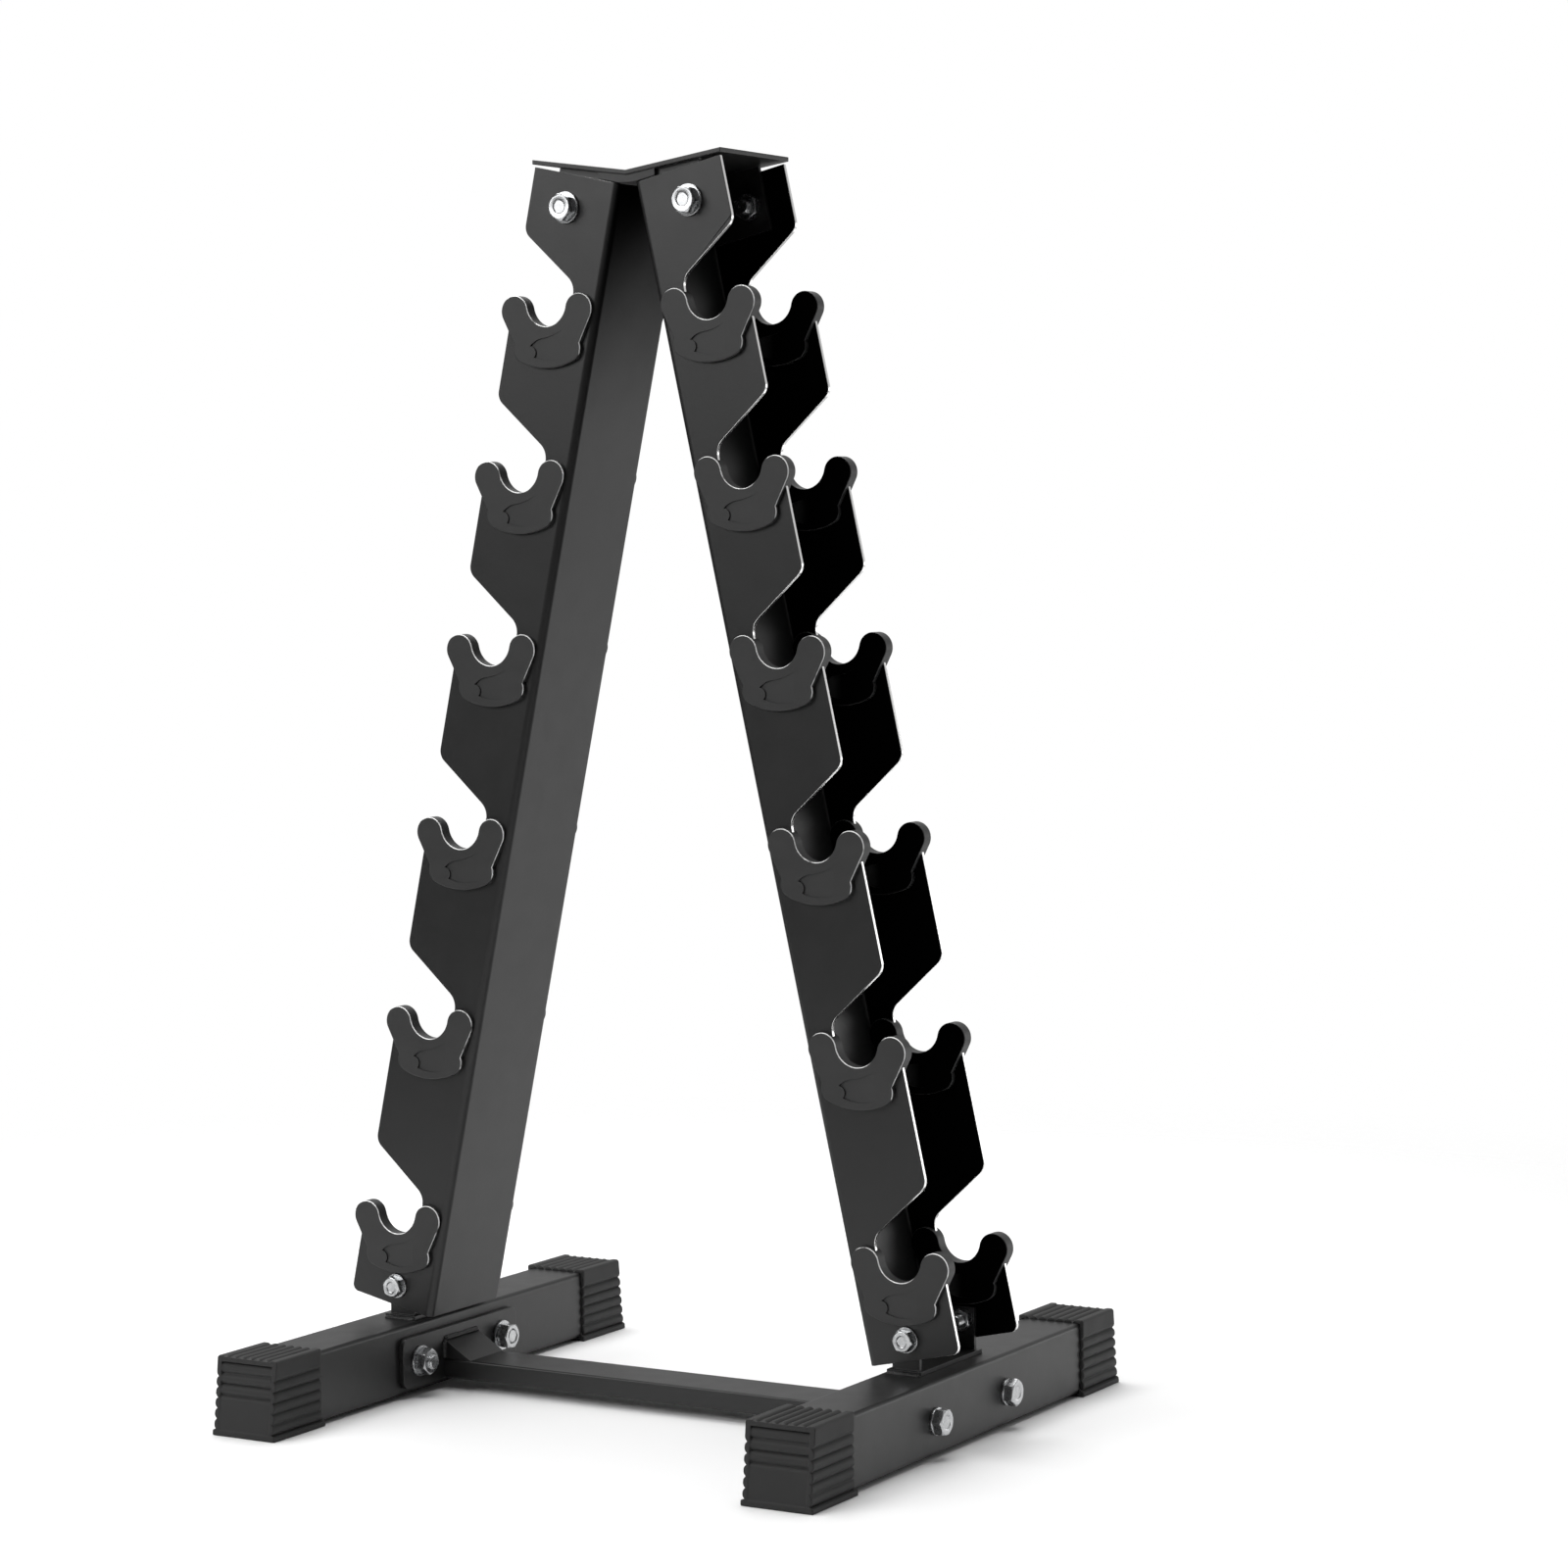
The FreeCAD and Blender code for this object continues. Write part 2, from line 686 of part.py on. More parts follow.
def make_cap(label, side, end):
    """A ribbed rubber cap: a sleeve over the tube's end with a wider sole."""
    body = doc.addObject("PartDesign::Body", label)
    height = "(tube_height + cap_wall * 2)"
    half_width = "(tube_width / 2 + cap_wall)"
    profile = new_sketch(body, label + "_profile", "YZ_Plane")
    mouth, tall = size("cap_mouth"), size(height)
    foot, top = size("cap_mouth + cap_foot_length"), size("cap_mouth + cap_top_length")
    outline(profile, closed([(mouth, 0), (foot, 0), (top, tall), (mouth, tall)]))
    pad(body, profile, "%s * 2" % half_width, both_ways=True)
    side_x = size(half_width)
    round_edges(body, lambda edge: is_near(edge.CenterOfMass.z, tall)
                and edge.CenterOfMass.y > mouth + 1
                or is_near(abs(edge.CenterOfMass.x), side_x)
                and is_near(edge.CenterOfMass.z, tall / 2)
                and edge.CenterOfMass.y > mouth + 1, "cap_wall - cap_groove_depth / 2")
    sole = new_sketch(body, label + "_sole", "XY_Plane")
    rectangle(sole, "-%s - cap_lip_reach" % half_width, "cap_mouth - cap_lip_reach * 2",
              "%s + cap_lip_reach" % half_width, "cap_mouth + cap_foot_length")
    pad(body, sole, "cap_lip_height")
    socket = new_sketch(body, label + "_socket", "XZ_Plane")
    rectangle(socket, "-tube_width / 2", "cap_wall", "tube_width / 2", TUBE_TOP)
    pocket(body, socket, "tube_length / 2 + cap_end_gap", both_ways=False)
    sides = new_sketch(body, label + "_side_grooves", "XZ_Plane")
    for row in range(1, 7):
        level = size("cap_lip_height + cap_side_pitch * %d" % row)
        groove(sides, side_x, level, 1)
        groove(sides, -side_x, level, -1)
    pocket(body, sides)
    tops = new_sketch(body, label + "_top_grooves", "XY_Plane", offset=height)
    for row in range(-3, 3):
        middle = "cap_top_pitch * %.1f" % (row + 0.5)
        rectangle(tops, middle + " - cap_groove_width / 2", "cap_mouth + cap_border",
                  middle + " + cap_groove_width / 2", "cap_mouth + cap_top_length - cap_border")
    pocket(body, tops, "cap_groove_depth", both_ways=False)
    fronts = new_sketch(body, label + "_front_grooves", "YZ_Plane")
    for row in range(4):
        level = tall - size("cap_border + cap_front_pitch * %d" % row)
        groove(fronts, foot + (top - foot) * level / tall, level, 1)
    pocket(body, fronts, "(%s - cap_border) * 2" % half_width)
    turned = TURNED if end == FRONT else FLAT
    return keep(body, label, place("tube_spacing / 2 * %d" % side, "0", "0", turned))


def make_foot_bracket(label, side):
    """A plate welded on the base tube with an upright U inside the leg."""
    body = doc.addObject("PartDesign::Body", label)
    plate = new_sketch(body, label + "_plate", "XY_Plane")
    rectangle(plate, "-foot_plate_width / 2", "-foot_plate_length / 2",
              "foot_plate_width / 2", "foot_plate_length / 2")
    pad(body, plate, "foot_plate")
    stub = new_sketch(body, label + "_stub", "XY_Plane", offset="foot_plate")
    rectangle(stub, "-stub_width / 2", "sheet - channel_width / 2",
              "stub_width / 2", "channel_width / 2 - sheet")
    pad(body, stub, "stub_height")
    inside = new_sketch(body, label + "_inside", "XY_Plane", offset="foot_plate")
    rectangle(inside, "sheet - stub_width / 2", "sheet * 2 - channel_width / 2",
              "stub_width / 2 + sheet", "channel_width / 2 - sheet * 2")
    pocket(body, inside, "stub_height", both_ways=False, backwards=True)
    holes = new_sketch(body, label + "_holes", "XZ_Plane")
    circle(holes, leg_x("foot_bolt_up", "foot_bolt_out") + " - foot_centre",
           leg_z("foot_bolt_up", "foot_bolt_out") + " - " + TUBE_TOP, "small_hole")
    pocket(body, holes)
    return keep(body, label, on_side(side, place("foot_centre", "0", TUBE_TOP)))


def make_crossbar(label):
    """A flat rectangular tube between the end plates."""
    body = doc.addObject("PartDesign::Body", label)
    outside = new_sketch(body, label + "_outside", "YZ_Plane")
    rectangle(outside, "-bar_width / 2", "0", "bar_width / 2", "bar_height")
    pad(body, outside, PLATE_INSIDE + " * 2", both_ways=True)
    round_edges(body, lambda edge: is_along(edge, X_AXIS), "bar_wall")
    inside = new_sketch(body, label + "_inside", "YZ_Plane")
    rectangle(inside, "bar_wall - bar_width / 2", "bar_wall",
              "bar_width / 2 - bar_wall", "bar_height - bar_wall")
    pocket(body, inside)
    return keep(body, label, place("0", "0", "bar_bottom"))


def make_end_plate(label, side):
    """The crossbar's end plate, against the inner face of the base tube."""
    body = doc.addObject("PartDesign::Body", label)
    shape = new_sketch(body, label + "_shape", "YZ_Plane")
    rectangle(shape, "-end_plate_length / 2", "0", "end_plate_length / 2", "end_plate_height")
    pad(body, shape, "end_plate")
    round_edges(body, lambda edge: is_along(edge, X_AXIS), "end_plate_corner")
    holes = new_sketch(body, label + "_holes", "YZ_Plane")
    for y in ("-side_bolt_spacing / 2", "side_bolt_spacing / 2"):
        circle(holes, y, "end_plate_height / 2", "large_hole")
    pocket(body, holes)
    return keep(body, label, on_side(side, place(PLATE_INSIDE, "0", "bar_bottom")))


def make_gusset(label, side):
    """A folded sheet that slopes from the end plate down to the crossbar."""
    body = doc.addObject("PartDesign::Body", label)
    run, rise = size("gusset_run"), size("gusset_rise")
    wall = size("gusset_sheet") * math.hypot(run, rise)
    shape = new_sketch(body, label + "_shape", "XZ_Plane")
    outline(shape, closed([(0, 0), (0, rise), (-run, 0)]))
    pad(body, shape, "bar_width", both_ways=True)
    inside = new_sketch(body, label + "_inside", "XZ_Plane")
    outline(inside, closed([(0, 0), (0, rise - wall / run), (wall / rise - run, 0)]))
    pocket(body, inside, "bar_width - gusset_sheet * 2")
    return keep(body, label, on_side(side, place(PLATE_INSIDE, "0", "bar_bottom + bar_height")))


# Fasteners ----------------------------------------------------------------------

def primitive(kind, name, **sizes):
    """A Part primitive whose sizes follow the sheet."""
    solid = doc.addObject("Part::" + kind, name)
    for field, expression in sizes.items():
        solid.setExpression(field, named(expression))
    return solid


def combine(kind, name, base, tool):
    """A boolean of two solids."""
    result = doc.addObject("Part::" + kind, name)
    result.Base = base
    result.Tool = tool
    return result


def chamfered_hex(name, width, height):
    """A hexagonal block with the corners of its outer face turned off."""
    block = primitive("Prism", name + "_block",
                      Circumradius="%s / 2 / cos(30 deg)" % width, Height=height)
    block.Polygon = 6
    face = "%s / 2 * %s" % (width, FACE_SHARE)
    turned = primitive("Cone", name + "_turned", Radius2=face,
                       Radius1="%s + %s * tan(60 deg)" % (face, height), Height=height)
    return combine("Common", name + "_hex", block, turned)


def hex_bolt(name, thread, length):
    """A bolt along Z, its shank below zero and its head above."""
    head = chamfered_hex(name, thread + "_hex", thread + "_head")
    shank = primitive("Cylinder", name + "_shank", Radius=thread + "_bolt / 2",
                      Height="%s + %s_head / 2" % (length, thread))
    shank.setExpression("Placement.Base.z", named("-" + length))
    return combine("Fuse", name, head, shank)


def hex_nut(name, thread):
    """A nut along Z that stands on zero."""
    block = chamfered_hex(name, thread + "_hex", thread + "_nut")
    bore = primitive("Cylinder", name + "_bore", Radius=thread + "_bolt / 2 + thread_gap",
                     Height=thread + "_nut")
    return combine("Cut", name, block, bore)


def washer(name, thread, diameter):
    """A flat washer along Z that stands on zero."""
    disc = primitive("Cylinder", name + "_disc", Radius=diameter + " / 2",
                     Height=thread + "_washer_sheet")
    bore = primitive("Cylinder", name + "_bore", Radius=thread + "_bolt / 2 + thread_gap",
                     Height=thread + "_washer_sheet")
    return combine("Cut", name, disc, bore)


def group(label, solids):
    """Loose solids that share one node."""
    compound = doc.addObject("Part::Compound", label)
    compound.Links = solids
    return keep(compound, label, FreeCAD.Placement())


def flange_places(up, out, distance_out):
    """Where the four fasteners of one kind go, heads outward, at both flanges."""
    places = []
    for side in (LEFT, RIGHT):
        for end in (FRONT, REAR):
            facing = FreeCAD.Rotation(X_AXIS, -90 * end)
            places.append(place("%s * %d" % (leg_x(up, out), side),
                                "(%s) * %d" % (distance_out, end), leg_z(up, out), facing))
    return places


def side_places(distance_out, outward=True):
    """Where the four fasteners through the base tubes go, front ones first."""
    places = []
    for end in (FRONT, REAR):
        for side in (LEFT, RIGHT):
            facing = FreeCAD.Rotation(Y_AXIS, 90 * side * (1 if outward else -1))
            places.append(place("(%s) * %d" % (distance_out, side),
                                "side_bolt_spacing / 2 * %d" % end, SIDE_BOLT_HEIGHT, facing))
    return places


def placed(solids, places):
    """Puts each solid in its place."""
    for solid, where in zip(solids, places):
        solid.Placement = where
    return solids


def make_flange_fasteners(tag, thread, up, out, length):
    """The bolts, washers and nuts that hold a bracket inside both legs."""
    bolts = [hex_bolt("%s_bolt_%d" % (tag, n), thread, length) for n in range(1, 5)]
    washers = [washer("%s_washer_%d" % (tag, n), thread, thread + "_washer") for n in range(1, 5)]
    nuts = [hex_nut("%s_nut_%d" % (tag, n), thread) for n in range(1, 5)]
    outside = "channel_width / 2"
    group(tag + "_bolts", placed(
        bolts, flange_places(up, out, "%s + %s_washer_sheet" % (outside, thread))))
    group(tag + "_washers", placed(washers, flange_places(up, out, outside)))
    group(tag + "_nuts", placed(
        nuts, flange_places(up, out, "%s - sheet * 2 - %s_nut" % (outside, thread))))


def make_crossbar_fasteners():
    """The bolts through the base tubes, with a washer at each end and a nut inside."""
    tube_outside = "tube_spacing / 2 + tube_width / 2"
    lengths = ["front_bar_bolt_length"] * 2 + ["rear_bar_bolt_length"] * 2
    bolts = [hex_bolt("crossbar_bolt_%d" % n, "large", length)
             for n, length in enumerate(lengths, start=1)]
    outer = [washer("outer_washer_%d" % n, "large", "outer_washer") for n in range(1, 5)]
    inner = [washer("inner_washer_%d" % n, "large", "large_washer") for n in range(1, 5)]
    nuts = [hex_nut("crossbar_nut_%d" % n, "large") for n in range(1, 5)]
    placed(bolts, side_places(tube_outside + " + large_washer_sheet"))
    placed(outer, side_places(tube_outside))
    placed(inner, side_places(PLATE_INSIDE + " - large_washer_sheet"))
    placed(nuts, side_places(PLATE_INSIDE + " - large_washer_sheet", outward=False))
    group("crossbar_bolts", bolts)
    group("crossbar_washers", outer + inner)
    group("crossbar_nuts", nuts)


# The rack -----------------------------------------------------------------------

def build():
    """Makes every sub-part."""
    for side, name in ((LEFT, "left"), (RIGHT, "right")):
        make_leg(name + "_leg", side)
        make_base_tube(name + "_base_tube", side)
        make_foot_bracket(name + "_foot_bracket", side)
        make_end_plate(name + "_end_plate", side)
        make_gusset(name + "_gusset", side)
        for end, end_name in ((FRONT, "front"), (REAR, "rear")):
            make_cap("%s_%s_cap" % (end_name, name), side, end)
            for number, height in enumerate(TIERS, start=1):
                make_cover("%s_%s_cover_%d" % (end_name, name, number), side, end, height)
    make_top_bracket("top_bracket")
    make_crossbar("crossbar")
    make_flange_fasteners("top", "large", "top_bolt_up", "top_bolt_out", "top_bolt_length")
    make_flange_fasteners("foot", "small", "foot_bolt_up", "foot_bolt_out", "foot_bolt_length")
    make_crossbar_fasteners()
    doc.recompute()


def check():
    """Stops if any object failed or any sub-part has no sound shape."""
    for item in doc.Objects:
        if "Invalid" in item.State or "Error" in item.State:
            raise RuntimeError("%s failed: %s" % (item.Label, item.State))
    for part in sub_parts:
        if part.Shape.isNull() or not part.Shape.isValid():
            raise RuntimeError("%s has no sound shape" % part.Label)


def write():
    """Writes each sub-part to a file with its own name."""
    os.makedirs("parts", exist_ok=True)
    for part in sub_parts:
        part.Shape.exportStep("parts/%s.step" % part.Label)
        print(part.Label, len(part.Shape.Solids), round(part.Shape.Volume))


fill_sheet()
build()
check()
write()
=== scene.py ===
import logging
import math
from dataclasses import dataclass
from enum import Enum

import bmesh
import bpy
import numpy as np
from mathutils import Matrix, Vector


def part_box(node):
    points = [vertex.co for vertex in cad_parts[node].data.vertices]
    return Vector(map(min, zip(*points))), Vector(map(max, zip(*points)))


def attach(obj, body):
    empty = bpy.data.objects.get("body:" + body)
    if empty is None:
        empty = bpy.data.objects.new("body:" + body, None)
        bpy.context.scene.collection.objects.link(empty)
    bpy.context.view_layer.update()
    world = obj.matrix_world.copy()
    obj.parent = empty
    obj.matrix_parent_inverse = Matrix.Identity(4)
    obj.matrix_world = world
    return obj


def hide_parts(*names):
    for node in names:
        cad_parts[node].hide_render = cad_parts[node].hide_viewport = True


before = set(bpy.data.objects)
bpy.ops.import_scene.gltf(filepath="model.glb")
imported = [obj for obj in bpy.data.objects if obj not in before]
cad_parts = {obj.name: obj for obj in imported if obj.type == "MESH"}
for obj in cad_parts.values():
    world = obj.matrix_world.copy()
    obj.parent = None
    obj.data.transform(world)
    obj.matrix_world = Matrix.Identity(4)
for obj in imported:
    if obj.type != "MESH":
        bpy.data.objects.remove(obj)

LOG = logging.getLogger("dumbbell_rack")
ROOT = "root"
FULL_TURN = 2.0 * math.pi
QUARTER_TURN = math.pi / 2.0
# Metres: points nearer than the first are one point, and edges shorter than
# the second are none
SAME_POINT = 2e-6
NO_LENGTH = 1e-7


class Slot(Enum):
    """The record's material slots."""

    POWDER_COAT = "powder_coat"
    PLASTIC = "plastic"
    RUBBER = "rubber"
    ZINC = "zinc"


class Axis(Enum):
    """The direction that a fastener lies along."""

    X = 0
    Y = 1


# Shader expressions


class Value:
    """A number that varies over a surface. Sums and products add their own nodes."""

    def __init__(self, shader: "Shader", socket: bpy.types.NodeSocket) -> None:
        """Wraps a node's output."""
        self.shader = shader
        self.socket = socket

    def math(self, operation: str, *others: "Value | float") -> "Value":
        """Applies a Math node.

        Args:
            operation: The node's operation.
            others: Its second and third inputs.

        Returns:
            The node's output.
        """
        inputs = dict(enumerate((self, *others)))
        return self.shader.value("ShaderNodeMath", {"operation": operation}, inputs)

    def __add__(self, other: "Value | float") -> "Value":
        """Sum."""
        return self.math("ADD", other)

    def __sub__(self, other: "Value | float") -> "Value":
        """Difference."""
        return self.math("SUBTRACT", other)

    def __rsub__(self, other: float) -> "Value":
        """Difference from a number."""
        return self.shader.value("ShaderNodeMath", {"operation": "SUBTRACT"}, {0: other, 1: self})

    def __mul__(self, other: "Value | float") -> "Value":
        """Product."""
        return self.math("MULTIPLY", other)

    def __abs__(self) -> "Value":
        """Size without sign."""
        return self.math("ABSOLUTE")

    __radd__ = __add__
    __rmul__ = __mul__

    def between(self, low: float, high: float) -> "Value":
        """Rises smoothly from 0 at low to 1 at high, or falls where low is the larger."""
        settings = {"interpolation_type": "SMOOTHSTEP"}
        return self.shader.value(
            "ShaderNodeMapRange", settings, {"Value": self, "From Min": low, "From Max": high}
        )


class Shader:
    """A material and the one method that adds any node to it."""

    def __init__(self, name: str) -> None:
        """Starts a material that has its surface shader and nothing else.

        Args:
            name: The material's name.
        """
        self.material = bpy.data.materials.new(name)
        self.material.use_nodes = True
        self.tree = self.material.node_tree
        self.surface = next(n for n in self.tree.nodes if n.type == "BSDF_PRINCIPLED")

    def node(
        self, kind: str, settings: dict[str, object], inputs: dict[str | int, object]
    ) -> bpy.types.Node:
        """Adds a node.

        Args:
            kind: The node's type.
            settings: Its options, set before its sockets.
            inputs: Its sockets by name or number, each a number, a tuple or a link.

        Returns:
            The node.
        """
        node = self.tree.nodes.new(kind)
        for key, setting in settings.items():
            setattr(node, key, setting)
        self.feed(node, inputs)
        return node

    def feed(self, node: bpy.types.Node, inputs: dict[str | int, object]) -> None:
        """Gives a node's sockets their values or links.

        Args:
            node: The node.
            inputs: Its sockets by name or number, each a number, a tuple or a link.
        """
        for key, given in inputs.items():
            given = given.socket if isinstance(given, Value) else given
            if isinstance(given, bpy.types.NodeSocket):
                self.tree.links.new(given, node.inputs[key])
            else:
                node.inputs[key].default_value = given

    def value(
        self, kind: str, settings: dict[str, object], inputs: dict[str | int, object]
    ) -> Value:
        """Adds a node and returns its first output as a number."""
        return Value(self, self.node(kind, settings, inputs).outputs[0])

    def place(self) -> bpy.types.NodeSocket:
        """The point on the surface, in the rack's own frame."""
        return self.node("ShaderNodeTexCoord", {}, {}).outputs["Object"]

    def part(self, vector: bpy.types.NodeSocket, axis: str) -> Value:
        """One coordinate of a vector."""
        return Value(self, self.node("ShaderNodeSeparateXYZ", {}, {0: vector}).outputs[axis])

    def across(self) -> Value:
        """How far the surface is from the rack's middle plane, front or rear."""
        return abs(self.part(self.place(), "Y"))

    def toward(self, axis: str) -> Value:
        """How far the surface faces towards the positive end of an axis."""
        return self.part(self.node("ShaderNodeNewGeometry", {}, {}).outputs["Normal"], axis)

    def facing(self, axis: str) -> Value:
        """How far the surface faces along an axis, without sign."""
        return abs(self.toward(axis))

    def noise(self, scale: float, detail: float = 3.0, stretch: tuple = (1.0, 1.0, 1.0)) -> Value:
        """Cloudy noise.

        Args:
            scale: How many clouds to the metre.
            detail: How many finer layers.
            stretch: How much tighter the pattern is along each axis.

        Returns:
            The noise, from 0 to 1.
        """
        spot = self.node("ShaderNodeMapping", {}, {"Vector": self.place(), "Scale": stretch})
        inputs = {"Vector": spot.outputs[0], "Scale": scale, "Detail": detail}
        return self.value("ShaderNodeTexNoise", {"noise_dimensions": "3D"}, inputs)

    def blend(self, factor: Value, low: object, high: object) -> bpy.types.NodeSocket:
        """A colour that goes from low to high."""
        node = self.node("ShaderNodeMix", {"data_type": "RGBA"}, {0: factor, 6: low, 7: high})
        return node.outputs[2]

    def bump(self, height: Value, distance: float, strength: float) -> bpy.types.NodeSocket:
        """A relief of that height, in metres, as a normal."""
        inputs = {"Height": height, "Distance": distance, "Strength": strength}
        return self.node("ShaderNodeBump", {}, inputs).outputs[0]

    def finish(self, **inputs: object) -> bpy.types.Material:
        """Feeds the surface shader, an underscore in each name standing for a space."""
        self.feed(self.surface, {key.replace("_", " "): given for key, given in inputs.items()})
        return self.material

    def with_painted_shade(self, factor: Value, level: float, **inputs: object) -> bpy.types.Material:
        """Feeds the surface shader and mixes a plain dark one over it as painted shade.

        Args:
            factor: Where shade is painted.
            level: How light the painted shade is.
            inputs: The surface shader's sockets, an underscore standing for a space.

        Returns:
            The material.
        """
        self.finish(**inputs)
        # painted shade: a plain dark diffuse surface mixed over the finish
        painted_shade = self.node("ShaderNodeBsdfDiffuse", {}, {"Color": grey(level)})
        shaders = {0: factor, 1: self.surface.outputs[0], 2: painted_shade.outputs[0]}
        mix = self.node("ShaderNodeMixShader", {}, shaders)
        output = next(n for n in self.tree.nodes if n.type == "OUTPUT_MATERIAL")
        self.feed(output, {"Surface": mix.outputs[0]})
        return self.material


def grey(level: float, warmth: float = 0.0) -> tuple[float, float, float, float]:
    """A grey, a little warmer or cooler."""
    return (level * (1.0 + warmth), level, level * (1.0 - warmth), 1.0)


# Finishes


@dataclass(frozen=True)
class PowderCoat:
    """Satin black powder coat on steel, with the fine orange peel of baked powder.

    Mottle, clouds, peel and grain are how many of each there are to the metre.
    """

    name: str = "satin_powder_coat"
    slot: Slot = Slot.POWDER_COAT
    level: float = 0.0105
    roughness: float = 0.40
    mottle: float = 9.0
    clouds: float = 60.0
    peel: float = 520.0
    grain: float = 2600.0

    def body(self, shader: Shader) -> bpy.types.NodeSocket:
        """The coat's colour, a little mottled."""
        mottle = shader.noise(self.mottle, 4.0)
        return shader.blend(mottle, grey(self.level * 0.8, 0.01), grey(self.level * 1.3, -0.01))

    def satin(self, shader: Shader) -> Value:
        """The coat's roughness, a little cloudy."""
        return shader.noise(self.clouds, 5.0) * 0.10 + (self.roughness - 0.05)

    def skin(self, shader: Shader) -> bpy.types.NodeSocket:
        """The orange peel, and a finer grain in it."""
        relief = shader.noise(self.peel, 2.0) * 0.7 + shader.noise(self.grain, 2.0) * 0.3
        return shader.bump(relief, 0.00012, 0.35)

    def material(self) -> bpy.types.Material:
        """Builds the material.

        Returns:
            The coat, with its peel and its mottling.
        """
        shader = Shader(self.name)
        return shader.finish(
            Base_Color=self.body(shader), Roughness=self.satin(shader), Normal=self.skin(shader)
        )


@dataclass(frozen=True)
class CutSheetCoat(PowderCoat):
    """The same coat on the channels, which are cut and bent from sheet.

    It is rubbed through to bright steel along the cut edges of the flanges.
    Inside the channels and high up between the two webs, shade is painted in
    as a plain dark dull surface. Pairs are where a change starts and ends.
    """

    name: str = "satin_powder_coat_cut_sheet"
    steel_level: float = 0.95
    edge_roughness: float = 0.20
    inner_face: float = 0.0390
    outer_face: float = 0.0420
    face_fade: float = 0.0002
    edge_turn: tuple[float, float] = (0.92, 0.75)
    worn_half: tuple[float, float] = (0.0396, 0.0401)
    worn_share: float = 0.85
    chips: float = 90.0
    chip_depth: tuple[float, float] = (0.05, 0.25)
    # Painted shade: its dark level and where it falls, inside the channels and up under the top bracket
    shade_level: float = 0.0012
    shade_skin: tuple[float, float] = (0.0394, 0.0391)
    shade_turn: tuple[float, float] = (0.80, 0.97)
    shade_rise: tuple[float, float] = (0.64, 0.83)
    shade_web: tuple[float, float] = (0.003, 0.00075)
    bend: tuple[float, float] = (0.0055, 0.0065)
    lean: float = math.radians(12.34)
    spread: float = 0.1731
    foot: float = 0.053

    def from_web(self, shader: Shader) -> Value:
        """How far the surface is from the outside of its channel's web.

        It is the distance sideways from the web's foot, times the cosine of the
        lean, plus the height over it, times the sine.

        Args:
            shader: The material's shader.

        Returns:
            The distance in metres.
        """
        spot = shader.place()
        across, up = abs(shader.part(spot, "X")), shader.part(spot, "Z")
        return (across - self.spread) * math.cos(self.lean) + (up - self.foot) * math.sin(self.lean)

    def cut_edges(self, shader: Shader) -> Value:
        """Where the surface is a cut edge.

        That is between a flange's two faces, not facing as they do, and clear
        of the bend. The edge's outer half is worn the most.

        Args:
            shader: The material's shader.

        Returns:
            The wear, from 0 to 1.
        """
        across = shader.across()
        inside = across.between(self.inner_face - self.face_fade, self.inner_face)
        outside = across.between(self.outer_face + self.face_fade, self.outer_face)
        band = inside * outside * shader.facing("Y").between(*self.edge_turn)
        wear = across.between(*self.worn_half) * (1.0 - self.worn_share) + self.worn_share
        return band * wear * self.from_web(shader).between(*self.bend)

    def painted_shade(self, shader: Shader) -> Value:
        """Where shade is painted in, as a plain dark dull surface.

        That is on the inner faces of the flanges, and on the outside of a web,
        more and more up to the roof of the top bracket.

        Args:
            shader: The material's shader.

        Returns:
            The painted shade, from 0 to 1.
        """
        inner = shader.across().between(*self.shade_skin) * shader.facing("Y").between(*self.shade_turn)
        up = shader.part(shader.place(), "Z").between(*self.shade_rise)
        return inner + up * self.from_web(shader).between(*self.shade_web)

    def material(self) -> bpy.types.Material:
        """Builds the material.

        Returns:
            The coat, with its bright edges and its dull faces.
        """
        shader = Shader(self.name)
        edges = self.cut_edges(shader) * shader.noise(self.chips, 4.0).between(*self.chip_depth)
        # painted shade over the inner flange faces and the upper outside of the webs
        return shader.with_painted_shade(
            self.painted_shade(shader), self.shade_level,
            Base_Color=shader.blend(edges, self.body(shader), grey(self.steel_level, 0.005)),
            Metallic=edges, Normal=self.skin(shader),
            Roughness=self.satin(shader) + edges * (self.edge_roughness - self.roughness),
        )


